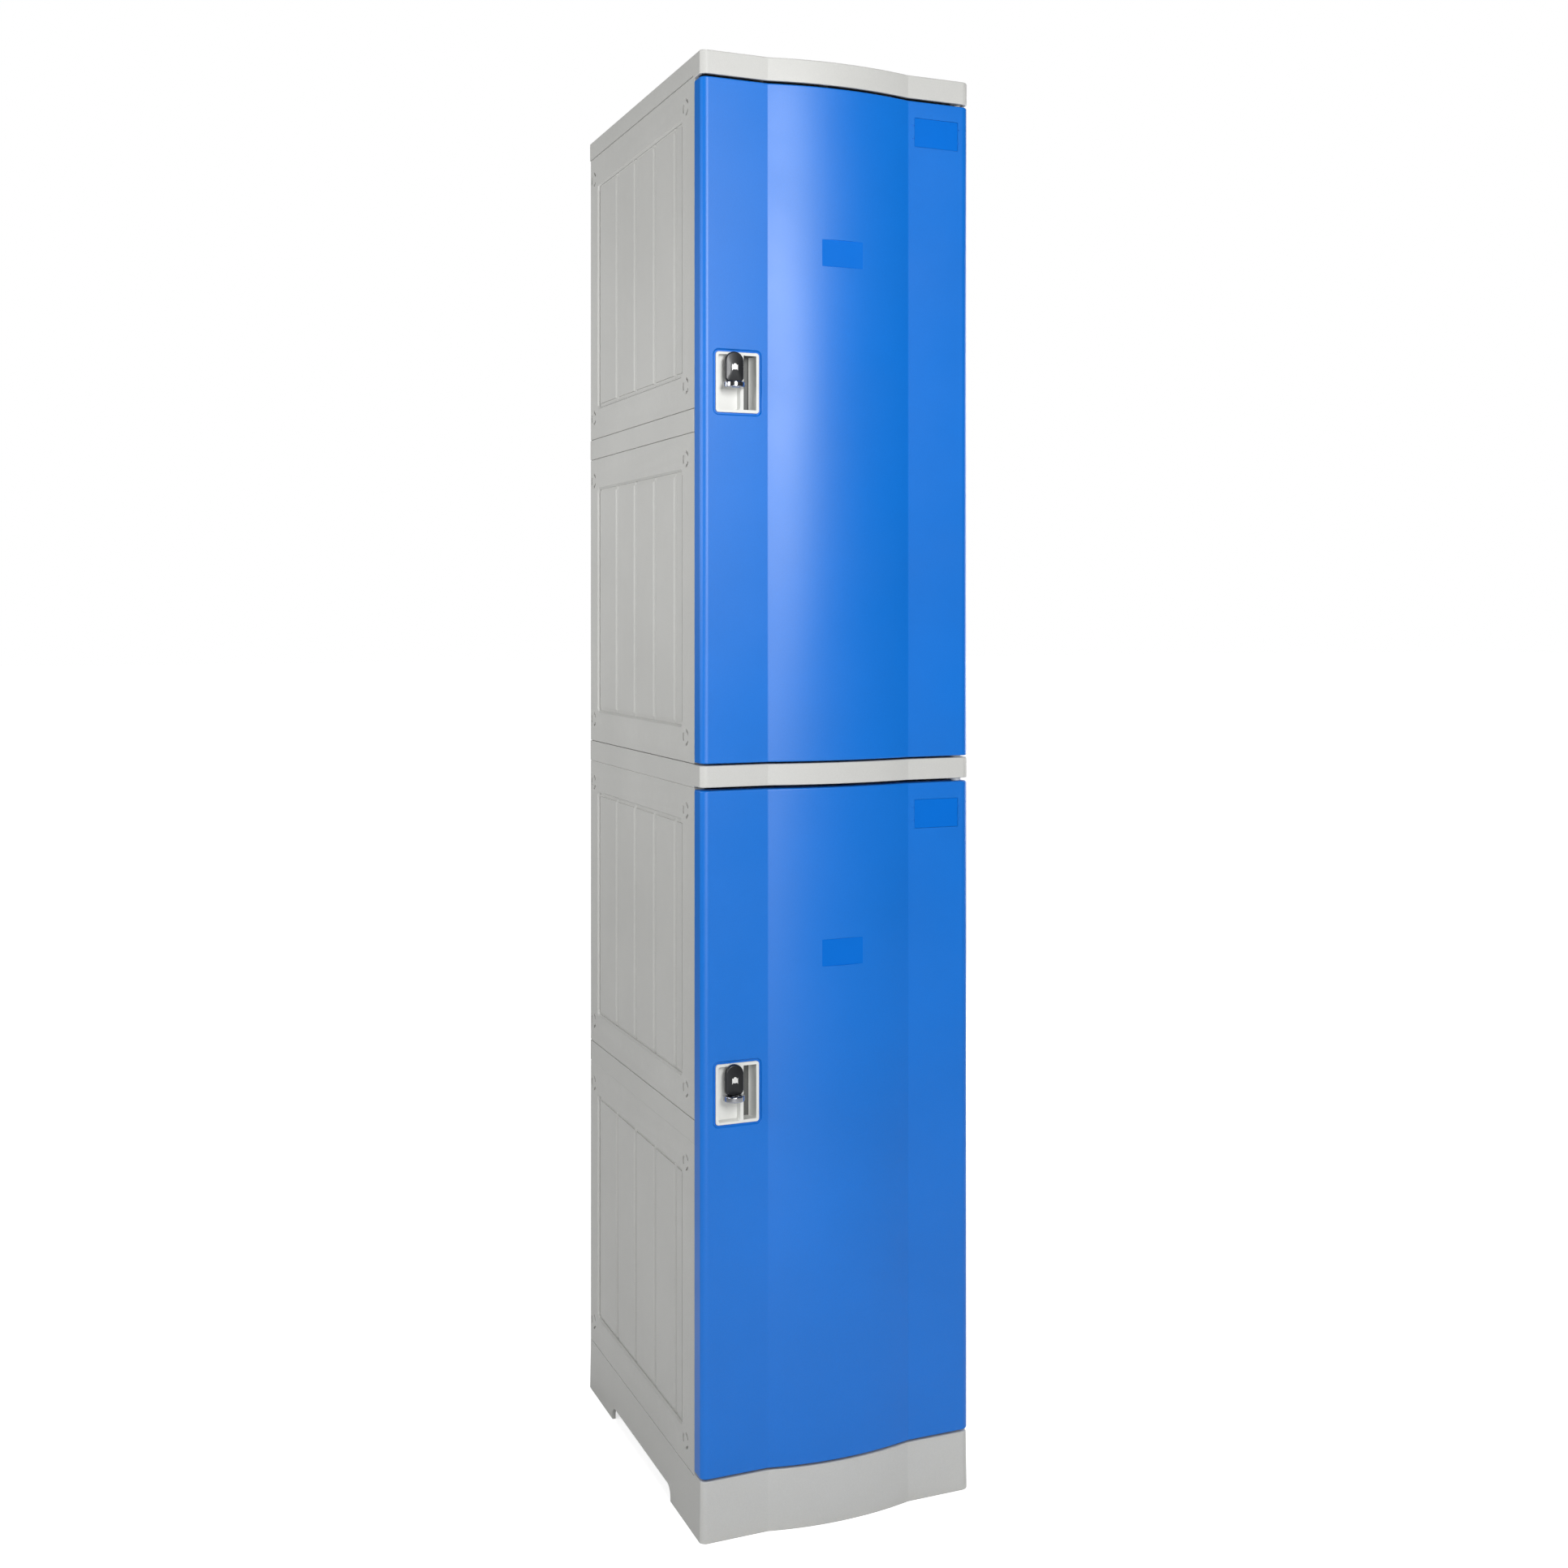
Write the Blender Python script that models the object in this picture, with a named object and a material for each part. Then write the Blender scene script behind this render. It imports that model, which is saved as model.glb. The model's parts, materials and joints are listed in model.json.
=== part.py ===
"""A two-tier school locker in moulded plastic: four stacked modules, two tall doors and their locks.

Metres, +Z up. The front faces -Y, the doors' hinges are at +X, and the origin is the middle of
the underside.
"""

import math

import bmesh
import bpy
from mathutils import Matrix, Vector

# ---- Driving dimensions -------------------------------------------------------------------
WIDTH = 0.382
FLAT_DEPTH = 0.500          # from the flat stretches of the front to the back
BULGE = 0.012               # how far the curved middle of the front stands out
BULGE_CHORD = 0.200
GAP = 0.0003                # between pieces that touch
OVERLAP = 0.001             # how far joined shapes reach into each other
BEYOND = 0.010              # how far a cutter runs past what it cuts

PLINTH_H = 0.074
PLINTH_LIP_H = 0.078
MODULE_H = 0.425            # one side panel
BAND_H = 0.030              # the shelf or divider between two modules
TOP_BAND_H = 0.026
TOP_LIP_H = 0.031
DIVIDER_LIP = (0.956, 0.9835)
LIP_DEPTH = 0.030           # how far the lips stand in front of the side panels
SHELL_T = 0.0035            # skin of the cover, divider and shelves
RIM_T = 0.004
CORNER_R = 0.010
REAR_R = 0.004
BAND_R = 0.003
LIP_LAP = 0.010             # how far a lip runs back into its band
HOLLOW_LAP = 0.012          # how far back a lip's hollow is drawn

PANEL_INSET = 0.0015        # side and back panels sit this far inside the bands
PANEL_T = 0.0145            # whole depth of a panel's tray
PANEL_SKIN = 0.0035
PANEL_WALL = 0.003
FIELD_SINK = 0.0015
FIELD_MARGIN = 0.046
FIELD_FRONT, FIELD_REAR = 0.078, 0.460          # behind the flat front
SIDE_GROOVES = (0.111, 0.1975, 0.284, 0.3705)   # behind the flat front
BACK_GROOVES = (-0.087, 0.0, 0.087)
GROOVE_W = 0.007
GROOVE_SINK = 0.002
RIB_W = 0.009
HOOK_RIB_W = 0.026

NOTCH_FRONT, NOTCH_REAR = 0.120, 0.382          # behind the flat front
NOTCH_H = 0.0195
NOTCH_R = 0.018

DOOR_T = 0.028
DOOR_SKIN = 0.0035
DOOR_HALF_W = 0.1905
DOOR_CORNER_R = 0.010
DOOR_SPANS = {"lower": (0.081, 0.9525), "upper": (0.986, 1.857)}
LINER_HALF_W = 0.1767
LINER_INSET = 0.0143
LINER_T = 0.003
LINER_SEAT = 0.006          # depth of the opening that the liner fills, either way
LINER_R = 0.003
HINGE_FROM_RIGHT = 0.013     # the hinge line is in the middle of the door's thickness
PIN_R = 0.003
PIN_REACH = 0.015           # how far a hinge pin runs into a door
BUSH_R = 0.005
BUSH_FLANGE_R = 0.0072
BUSH_SLEEVE = 0.014
PIN_PLAY = 0.0004
BOSS_R = 0.0075
PLINTH_BOSS_Z = 0.050       # foot of the post for the bottom pin
PLINTH_BORE_Z = 0.055
COVER_BORE_ROOF = 0.008     # above the bore for the top pin

CUP_SIZE = (0.059, 0.077)
CUP_FROM_LEFT = 0.0495      # the cup's middle, from the cabinet's left side
CUP_BELOW_TOP = 0.3865      # the cup's middle, below the top of the door
CUP_FLANGE_T = 0.0012
CUP_FLANGE_W = 0.002        # how far the flange laps onto the door
CUP_FLANGE_R, CUP_BODY_R = 0.004, 0.0025
CUP_WALL = 0.002
CUP_LOCK_SINK = 0.009
CUP_FINGER_SINK = 0.0195
CUP_RIDGE_X = 0.0055        # right of the cup's middle
CUP_RIDGE_W = 0.005

CARD_SIZE = (0.065, 0.0385)
CARD_FROM_LEFT = 0.333
CARD_BELOW_TOP = 0.042
CARD_SINK = 0.0013
NUMBER_SIZE = (0.058, 0.035)
NUMBER_BELOW_TOP = 0.2145
NUMBER_SINK = 0.0016

LOCK_FROM_LEFT = 0.043
LOCK_ABOVE_CUP = 0.0175     # the lock's axis, above the cup's middle
KNOB_W = 0.0245
KNOB_UP, KNOB_DOWN = 0.0208, 0.0175
KNOB_T = 0.0065
KNOB_LIFT = 0.0015          # between the flat front and the knob's back
FOOT_CORNER = 0.45          # radius of a knob's or cam's lower corners, as a share of half its width
HASP_W = 0.028
HASP_REACH = 0.018          # how far the hasp's ring stands in front of the flat front
HASP_H = 0.0072
HASP_EYE = (0.012, 0.0064)  # the slot for a padlock's shackle, across and outwards
HASP_EYE_LIFT = 0.0118      # from the flat front to the slot's middle
BARREL_R = 0.009
BARREL_THREAD_R = 0.0082
BARREL_TAIL = 0.003         # how far the barrel shows behind the door
SPINDLE_R = 0.004
NUT_R = 0.0115
NUT_T = 0.004
CAM_W = 0.014
CAM_REACH = 0.022
CAM_T = 0.0025
CAM_SETBACK = 0.036         # from the flat front to the cam
STRIKE_T = 0.002
STRIKE_H = 0.064
STRIKE_REACH = 0.012        # how far a strike stands out of the side panel
STRIKE_R = 0.004
SCREW_R = 0.002
SCREW_HEAD_R, SCREW_HEAD_T = 0.0042, 0.0025
SCREW_BORE = 0.010          # how far the cam's screw runs into the spindle

HOOK_PLATE = (0.024, 0.060)
HOOK_PLATE_R = 0.006
HOOK_BELOW_BAND = 0.075     # the hook plate's middle, below the band above it
HOOK_WIRE_R = 0.003
HOOK_BEND_R = 0.006         # where the wire turns down from the plate
HOOK_CURL_R = 0.010         # the curl that holds a loop

# ---- Places worked out from them ----------------------------------------------------------
HALF_W = WIDTH / 2
FRONT_Y = (HASP_REACH - FLAT_DEPTH) / 2
BACK_Y = FRONT_Y + FLAT_DEPTH
CABINET_Y = FRONT_Y + LIP_DEPTH
DOOR_BACK_Y = FRONT_Y + DOOR_T
HINGE_X, HINGE_Y = HALF_W - HINGE_FROM_RIGHT, FRONT_Y + DOOR_T / 2
MODULES = [PLINTH_H + i * (MODULE_H + BAND_H) for i in range(4)]
TOP_Z = MODULES[3] + MODULE_H + TOP_BAND_H
PANEL_OUT_X = HALF_W - PANEL_INSET
PANEL_IN_X = PANEL_OUT_X - PANEL_T
PANEL_BACK_Y = BACK_Y - PANEL_INSET
CUP_X = CUP_FROM_LEFT - HALF_W
CARD_X = CARD_FROM_LEFT - HALF_W
LOCK_X = LOCK_FROM_LEFT - HALF_W
CAM_Y = FRONT_Y + CAM_SETBACK
LOCK_Z = {side: top - CUP_BELOW_TOP + LOCK_ABOVE_CUP for side, (_, top) in DOOR_SPANS.items()}

COLOURS = {                 # colour, roughness, metallic
    "body_grey_abs": ((0.56, 0.56, 0.55), 0.42, 0.0),
    "door_blue_abs": ((0.025, 0.17, 0.68), 0.36, 0.0),
    "card_blue": ((0.0, 0.15, 0.72), 0.45, 0.0),
    "cup_grey": ((0.70, 0.71, 0.69), 0.35, 0.0),
    "lock_black": ((0.015, 0.016, 0.018), 0.12, 0.6),
    "lock_chrome": ((0.75, 0.76, 0.78), 0.10, 1.0),
    "nylon": ((0.80, 0.80, 0.76), 0.50, 0.0),
    "steel": ((0.55, 0.56, 0.58), 0.30, 1.0),
}


# ---- Modelling helpers --------------------------------------------------------------------
def clear_scene():
    """Removes whatever the file starts with."""
    for obj in list(bpy.data.objects):
        bpy.data.objects.remove(obj, do_unlink=True)


def new_collection(name):
    """Makes a collection in the scene."""
    collection = bpy.data.collections.new(name)
    bpy.context.scene.collection.children.link(collection)
    return collection


def new_materials():
    """Makes one Principled material for each colour."""
    made = {}
    for name, (colour, roughness, metallic) in COLOURS.items():
        material = bpy.data.materials.new(name)
        material.use_nodes = True
        shader = material.node_tree.nodes["Principled BSDF"]
        shader.inputs["Base Color"].default_value = (*colour, 1)
        shader.inputs["Roughness"].default_value = roughness
        shader.inputs["Metallic"].default_value = metallic
        made[name] = material
    return made


def box_mesh(*boxes):
    """A mesh of boxes, each given as its lowest and its highest corner."""
    mesh = bpy.data.meshes.new("box")
    bm = bmesh.new()
    for low, high in boxes:
        low, high = Vector(low), Vector(high)
        place = Matrix.Translation((low + high) / 2) @ Matrix.Diagonal((*(high - low), 1))
        bmesh.ops.create_cube(bm, size=1, matrix=place)
    bm.to_mesh(mesh)
    bm.free()
    return mesh


def rod_mesh(radius, start, end, sides=16):
    """A capped cylinder between two points."""
    start, end = Vector(start), Vector(end)
    along = end - start
    turn = along.to_track_quat("Z", "Y").to_matrix().to_4x4()
    place = Matrix.Translation((start + end) / 2) @ turn
    mesh = bpy.data.meshes.new("rod")
    bm = bmesh.new()
    bmesh.ops.create_cone(bm, cap_ends=True, segments=sides, radius1=radius, radius2=radius,
                          depth=along.length, matrix=place)
    bm.to_mesh(mesh)
    bm.free()
    return mesh


def outline_mesh(points, low, high, axis="Z"):
    """A flat outline, filled and extruded from low to high along Z, or along Y if seen from the front."""
    curve = bpy.data.curves.new("outline", "CURVE")
    curve.dimensions = "2D"
    curve.fill_mode = "NONE"
    curve.extrude = (high - low) / 2
    spline = curve.splines.new("POLY")
    spline.points.add(len(points) - 1)
    for point, (u, v) in zip(spline.points, points):
        point.co = (u, v, 0, 1)
    spline.use_cyclic_u = True
    mesh = mesh_of_curve(curve)
    mesh.transform(Matrix.Translation((0, 0, (low + high) / 2)))
    if axis == "Y":
        # The outline's own up becomes +Z and its extrusion runs along +Y, which mirrors it.
        mesh.transform(Matrix(((1, 0, 0, 0), (0, 0, 1, 0), (0, 1, 0, 0), (0, 0, 0, 1))))
        mesh.flip_normals()
    return mesh


def mesh_of_curve(curve):
    """The closed mesh of a curve: its loose caps are welded on, and its open ends are filled."""
    guide = bpy.data.objects.new("guide", curve)
    bpy.context.scene.collection.objects.link(guide)
    mesh = evaluated_mesh(guide)
    bpy.data.objects.remove(guide, do_unlink=True)
    bm = bmesh.new()
    bm.from_mesh(mesh)
    bmesh.ops.remove_doubles(bm, verts=bm.verts, dist=1e-6)
    bmesh.ops.holes_fill(bm, edges=[edge for edge in bm.edges if edge.is_boundary])
    bmesh.ops.recalc_face_normals(bm, faces=bm.faces)
    bm.to_mesh(mesh)
    bm.free()
    return mesh


def evaluated_mesh(obj):
    """The object's shape with its modifiers applied, as a new mesh."""
    bpy.context.view_layer.update()
    graph = bpy.context.evaluated_depsgraph_get()
    return bpy.data.meshes.new_from_object(obj.evaluated_get(graph))


def arc(cx, cy, radius, start, end, steps):
    """Points on an arc, in degrees, with both ends."""
    angles = [math.radians(start + (end - start) * i / steps) for i in range(steps + 1)]
    return [(cx + radius * math.cos(a), cy + radius * math.sin(a)) for a in angles]


def rounded_rectangle(x0, z0, x1, z1, radius, steps=4):
    """The outline of a rectangle with rounded corners."""
    corners = ((x1 - radius, z0 + radius, -90), (x1 - radius, z1 - radius, 0),
               (x0 + radius, z1 - radius, 90), (x0 + radius, z0 + radius, 180))
    return [p for cx, cz, a in corners for p in arc(cx, cz, radius, a, a + 90, steps)]


def stadium(width, up, down, steps=8):
    """An upright outline about the origin with a round top and smaller corners at the bottom."""
    half = width / 2
    corner = half * FOOT_CORNER
    top = arc(0, up - half, half, 0, 180, 2 * steps)
    left = arc(-half + corner, -down + corner, corner, 180, 270, steps // 2)
    right = arc(half - corner, -down + corner, corner, 270, 360, steps // 2)
    return top + left + right


def front_outline(half_w, front_y, back_y, front_r, back_r, inset=0.0):
    """The plan of a piece whose front bulges in the middle, shrunk by inset on every side."""
    half_w, back_y, front_y = half_w - inset, back_y - inset, front_y + inset
    front_r, back_r = max(front_r - inset, 0.001), max(back_r - inset, 0.001)
    chord = BULGE_CHORD / 2
    radius = (chord ** 2 + BULGE ** 2) / (2 * BULGE)
    sweep = math.degrees(math.asin(chord / radius))
    centre_y = front_y - BULGE + radius
    bulge = arc(0, centre_y, radius, -90 - sweep, -90 + sweep, 14)
    return (arc(-half_w + front_r, front_y + front_r, front_r, 180, 270, 4) + bulge
            + arc(half_w - front_r, front_y + front_r, front_r, 270, 360, 4)
            + arc(half_w - back_r, back_y - back_r, back_r, 0, 90, 4)
            + arc(-half_w + back_r, back_y - back_r, back_r, 90, 180, 4))


class Workshop:
    """Places the locker's objects and the cutters that shape them."""

    def __init__(self):
        self.materials = new_materials()
        self.parts = new_collection("school_locker")
        self.cutters = new_collection("cutters")
        self.cutters.hide_render = True

    def part(self, name, mesh, material, parent=None, location=(0, 0, 0)):
        """Adds a named piece. Its mesh is in the parent's own space, and copies may share it."""
        obj = bpy.data.objects.new(name, mesh)
        mesh.materials.clear()
        mesh.materials.append(self.materials[material])
        obj.location = location
        obj.parent = parent
        self.parts.objects.link(obj)
        return obj

    def boolean(self, obj, mesh, operation="DIFFERENCE"):
        """Cuts a mesh from a piece, or joins it on. The mesh is in the piece's own space."""
        tool = bpy.data.objects.new(f"{obj.name}_{operation.lower()}", mesh)
        tool.parent = obj
        tool.hide_render = True
        tool.display_type = "WIRE"
        self.cutters.objects.link(tool)
        modifier = obj.modifiers.new(operation.title(), "BOOLEAN")
        modifier.operation = operation
        modifier.solver = "EXACT"
        modifier.object = tool
        return obj

    def axle(self, name, location, parent=None):
        """An empty on a joint's axis."""
        empty = bpy.data.objects.new(name, None)
        empty.empty_display_size = 0.03
        empty.location = location
        empty.parent = parent
        self.parts.objects.link(empty)
        return empty


def finish_smooth(obj, angle=30):
    """Shades a round piece smooth up to the given angle."""
    obj.data.shade_smooth()
    obj.data.set_sharp_from_angle(angle=math.radians(angle))


# ---- Cabinet ------------------------------------------------------------------------------
def underside_pockets(low_z, high_z):
    """Four hollows side by side, with ribs between them, as boxes."""
    reach = HALF_W - PANEL_INSET - RIM_T
    pitch = 2 * reach / 4
    rib = RIM_T / 4
    front, back = CABINET_Y + RIM_T, BACK_Y - 2 * RIM_T
    return [((-reach + i * pitch + (rib if i else 0), front, low_z),
             (-reach + (i + 1) * pitch - (rib if i < 3 else 0), back, high_z)) for i in range(4)]


def pin_boss(low_z, high_z):
    """The solid post that a hinge pin stands in."""
    return rod_mesh(BOSS_R, (HINGE_X, HINGE_Y, low_z), (HINGE_X, HINGE_Y, high_z))


def pin_hole(low_z, high_z):
    """The bore for a hinge pin."""
    return rod_mesh(PIN_R + GAP, (HINGE_X, HINGE_Y, low_z), (HINGE_X, HINGE_Y, high_z))


def make_plinth(shop):
    """The hollow base: a skirt with a notch in each side, a deck, and a lip under the lower door."""
    plan = front_outline(HALF_W, FRONT_Y, BACK_Y, CORNER_R, REAR_R)
    plinth = shop.part("base_plinth", outline_mesh(plan, 0, PLINTH_LIP_H), "body_grey_abs")
    behind_lip = box_mesh(((-WIDTH, CABINET_Y, PLINTH_H),
                           (WIDTH, BACK_Y + BEYOND, PLINTH_LIP_H + BEYOND)))
    shop.boolean(plinth, behind_lip)
    hollow = front_outline(HALF_W, FRONT_Y, BACK_Y, CORNER_R, REAR_R, inset=RIM_T)
    shop.boolean(plinth, outline_mesh(hollow, -BEYOND, PLINTH_H - SHELL_T))
    shop.boolean(plinth, pin_boss(PLINTH_BOSS_Z, PLINTH_H - OVERLAP), "UNION")
    shop.boolean(plinth, pin_hole(PLINTH_BORE_Z, PLINTH_LIP_H + BEYOND))
    notch = rounded_rectangle(FRONT_Y + NOTCH_FRONT, -2 * NOTCH_H, FRONT_Y + NOTCH_REAR, NOTCH_H, NOTCH_R)
    cutter = outline_mesh(notch, -WIDTH, WIDTH)
    # The outline was drawn in Y and Z, so its own X, Y and Z are turned to Y, Z and X.
    cutter.transform(Matrix(((0, 0, 1, 0), (1, 0, 0, 0), (0, 1, 0, 0), (0, 0, 0, 1))))
    shop.boolean(plinth, cutter)


def band_plan():
    """The plan of a shelf or of the divider, without its lip."""
    inset = PANEL_INSET / 2
    return rounded_rectangle(-HALF_W + inset, CABINET_Y, HALF_W - inset, BACK_Y - inset, BAND_R, 2)


def make_shelves(shop):
    """The flat shelf inside each door's space. Its rim is the band seen between two side panels."""
    for name, module in (("lower_shelf", 0), ("upper_shelf", 2)):
        low = MODULES[module] + MODULE_H + GAP
        high = MODULES[module + 1] - GAP
        shelf = shop.part(name, outline_mesh(band_plan(), low, high), "body_grey_abs")
        pockets = underside_pockets(low - BEYOND, high - SHELL_T)
        shop.boolean(shelf, box_mesh(*pockets))


def make_divider(shop):
    """The floor between the two doors' spaces, with a lip as deep as the doors."""
    low, high = MODULES[1] + MODULE_H + GAP, MODULES[2] - GAP
    lip_low, lip_high = DIVIDER_LIP
    divider = shop.part("compartment_divider", outline_mesh(band_plan(), low, high), "body_grey_abs")
    lip = front_outline(HALF_W, FRONT_Y, CABINET_Y + LIP_LAP, CORNER_R, BAND_R)
    shop.boolean(divider, outline_mesh(lip, lip_low, lip_high), "UNION")
    hollow = front_outline(HALF_W, FRONT_Y, CABINET_Y + HOLLOW_LAP, CORNER_R, BAND_R, inset=RIM_T)
    shop.boolean(divider, outline_mesh(hollow, lip_low + SHELL_T, lip_high - SHELL_T))
    shop.boolean(divider, box_mesh(*underside_pockets(low - BEYOND, high - SHELL_T)))
    shop.boolean(divider, pin_boss(lip_low + OVERLAP, lip_high - OVERLAP), "UNION")
    shop.boolean(divider, pin_hole(lip_low - BEYOND, lip_high + BEYOND))


def make_cover(shop):
    """The cap, with a lip over the upper door."""
    low = MODULES[3] + MODULE_H + GAP
    lip_low = TOP_Z - TOP_LIP_H
    plan = front_outline(HALF_W, FRONT_Y, BACK_Y, CORNER_R, REAR_R)
    cover = shop.part("top_cover", outline_mesh(plan, lip_low, TOP_Z), "body_grey_abs")
    shop.boolean(cover, box_mesh(((-WIDTH, CABINET_Y, lip_low - BEYOND), (WIDTH, BACK_Y + BEYOND, low))))
    hollow = front_outline(HALF_W, FRONT_Y, CABINET_Y + HOLLOW_LAP, CORNER_R, BAND_R, inset=RIM_T)
    shop.boolean(cover, outline_mesh(hollow, lip_low + SHELL_T, TOP_Z - SHELL_T))
    shop.boolean(cover, box_mesh(*underside_pockets(lip_low - BEYOND, TOP_Z - SHELL_T)))
    shop.boolean(cover, pin_boss(lip_low + OVERLAP, TOP_Z - OVERLAP), "UNION")
    shop.boolean(cover, pin_hole(lip_low - BEYOND, TOP_Z - COVER_BORE_ROOF))


def groove_mesh(places, low_z, high_z, depth_at):
    """V-shaped upright grooves, cut to depth_at from the outside, which is towards -X."""
    mesh = bpy.data.meshes.new("grooves")
    bm = bmesh.new()
    bottom, outside = depth_at + GROOVE_SINK, depth_at - GROOVE_SINK
    for place in places:
        # A three-sided prism. It is twice as wide outside the surface as a groove is at the surface.
        points = ((bottom, place), (outside, place - GROOVE_W), (outside, place + GROOVE_W))
        ring = [bm.verts.new((x, y, low_z)) for x, y in points]
        face = bm.faces.new(ring)
        lifted = bmesh.ops.extrude_face_region(bm, geom=[face])["geom"]
        raised = [item for item in lifted if isinstance(item, bmesh.types.BMVert)]
        bmesh.ops.translate(bm, verts=raised, vec=(0, 0, high_z - low_z))
    bmesh.ops.recalc_face_normals(bm, faces=bm.faces)
    bm.to_mesh(mesh)
    bm.free()
    return mesh


def tray_panel(shop, length, field, grooves, rib_widths):
    """A panel as an open tray. Outside faces -X at x = 0, it runs along +Y, and its foot is at z = 0."""
    height = MODULE_H - 2 * GAP
    panel = shop.part("panel_form", box_mesh(((0, 0, 0), (PANEL_T, length, height))), "body_grey_abs")
    field_low, field_high = FIELD_MARGIN, height - FIELD_MARGIN
    sink = box_mesh(((-BEYOND, field[0], field_low), (FIELD_SINK, field[1], field_high)))
    shop.boolean(panel, sink)
    shop.boolean(panel, groove_mesh(grooves, field_low, field_high, FIELD_SINK))
    edges = [PANEL_WALL]
    for groove, rib in zip(grooves, rib_widths):
        edges += [groove - rib / 2, groove + rib / 2]
    edges.append(length - PANEL_WALL)
    pockets = [((PANEL_SKIN, a, PANEL_WALL), (PANEL_T + BEYOND, b, height - PANEL_WALL))
               for a, b in zip(edges[::2], edges[1::2])]
    shop.boolean(panel, box_mesh(*pockets))
    mesh = evaluated_mesh(panel)
    for tool in list(panel.children):
        bpy.data.objects.remove(tool, do_unlink=True)
    bpy.data.objects.remove(panel, do_unlink=True)
    return mesh


def mirrored(mesh, matrix):
    """A copy of the mesh under a mirroring matrix, with its faces turned back outwards."""
    copy = mesh.copy()
    copy.transform(matrix)
    copy.flip_normals()
    return copy


def make_side_panels(shop):
    """Eight side panels, four a side. The right ones mirror the left."""
    length = PANEL_BACK_Y - CABINET_Y
    grooves = [place - LIP_DEPTH for place in SIDE_GROOVES]
    field = (FIELD_FRONT - LIP_DEPTH, FIELD_REAR - LIP_DEPTH)
    left = tray_panel(shop, length, field, grooves, [RIB_W] * len(grooves))
    right = mirrored(left, Matrix.Scale(-1, 4, (1, 0, 0)))
    for side, mesh, x in (("left", left, -PANEL_OUT_X), ("right", right, PANEL_OUT_X)):
        for number, foot in enumerate(MODULES, 1):
            shop.part(f"{side}_side_panel_{number}", mesh, "body_grey_abs",
                      location=(x, CABINET_Y, foot + GAP))


def make_back_panels(shop):
    """Four back panels between the side panels. The middle rib is wide enough for a coat hook."""
    length = 2 * (PANEL_IN_X - GAP)
    grooves = [length / 2 + place for place in BACK_GROOVES]
    field = (FIELD_MARGIN, length - FIELD_MARGIN)
    form = tray_panel(shop, length, field, grooves, (RIB_W, HOOK_RIB_W, RIB_W))
    # The tray's outside, at -X, turns to face +Y.
    form.transform(Matrix.Rotation(math.radians(-90), 4, "Z"))
    for number, foot in enumerate(MODULES, 1):
        shop.part(f"back_panel_{number}", form, "body_grey_abs",
                  location=(-length / 2, PANEL_BACK_Y, foot + GAP))


def make_hinge_pins(shop):
    """Three steel pins on the hinge line. The middle one serves both doors."""
    spans = {
        "bottom": (PLINTH_BORE_Z + OVERLAP, DOOR_SPANS["lower"][0] + PIN_REACH),
        "middle": (DOOR_SPANS["lower"][1] - PIN_REACH, DOOR_SPANS["upper"][0] + PIN_REACH),
        "top": (DOOR_SPANS["upper"][1] - PIN_REACH, TOP_Z - COVER_BORE_ROOF - OVERLAP),
    }
    for name, (low, high) in spans.items():
        pin = shop.part(f"hinge_pin_{name}", rod_mesh(PIN_R, (0, 0, low), (0, 0, high)), "steel",
                        location=(HINGE_X, HINGE_Y, 0))
        finish_smooth(pin)


def make_strikes(shop):
    """A steel plate behind the left panel's front wall, which the cam of each lock turns behind."""
    front = CABINET_Y + PANEL_WALL + GAP
    for side, z in LOCK_Z.items():
        outline = rounded_rectangle(-PANEL_OUT_X + PANEL_SKIN + GAP, z - STRIKE_H / 2,
                                    -PANEL_IN_X + STRIKE_REACH, z + STRIKE_H / 2, STRIKE_R, 3)
        shop.part(f"{side}_latch_strike", outline_mesh(outline, front, front + STRIKE_T, "Y"), "steel")


def hook_wire(plate_y, z):
    """The bent wire of a coat hook: out of its plate, down, round and up again."""
    start_y = plate_y - HOOK_WIRE_R
    turn = [(start_y - d, z - HOOK_BEND_R + up) for d, up in arc(0, 0, HOOK_BEND_R, 90, 0, 3)]
    curl_y = start_y - HOOK_BEND_R - HOOK_CURL_R
    curl = [(curl_y - d, z - HOOK_BEND_R + up) for d, up in arc(0, 0, HOOK_CURL_R, 180, 360, 8)]
    route = [(plate_y - GAP, z)] + turn + curl[1:] + [(curl[-1][0], z + HOOK_BEND_R)]
    curve = bpy.data.curves.new("hook", "CURVE")
    curve.dimensions = "3D"
    curve.bevel_depth = HOOK_WIRE_R
    curve.bevel_resolution = 2
    curve.use_fill_caps = True
    spline = curve.splines.new("POLY")
    spline.points.add(len(route) - 1)
    for point, (y, up) in zip(spline.points, route):
        point.co = (0, y, up, 1)
    return mesh_of_curve(curve)


def make_hooks(shop):
    """A coat hook on the back of each door's upper space."""
    plate_y = PANEL_BACK_Y - PANEL_T - GAP
    width, height = HOOK_PLATE
    for side, module in (("lower", 1), ("upper", 3)):
        z = MODULES[module] + MODULE_H - HOOK_BELOW_BAND
        outline = rounded_rectangle(-width / 2, z - height / 2, width / 2, z + height / 2,
                                    HOOK_PLATE_R, 3)
        plate = outline_mesh(outline, plate_y - HOOK_WIRE_R, plate_y, "Y")
        hook = shop.part(f"{side}_coat_hook", plate, "steel")
        shop.boolean(hook, hook_wire(plate_y, z), "UNION")


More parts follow.
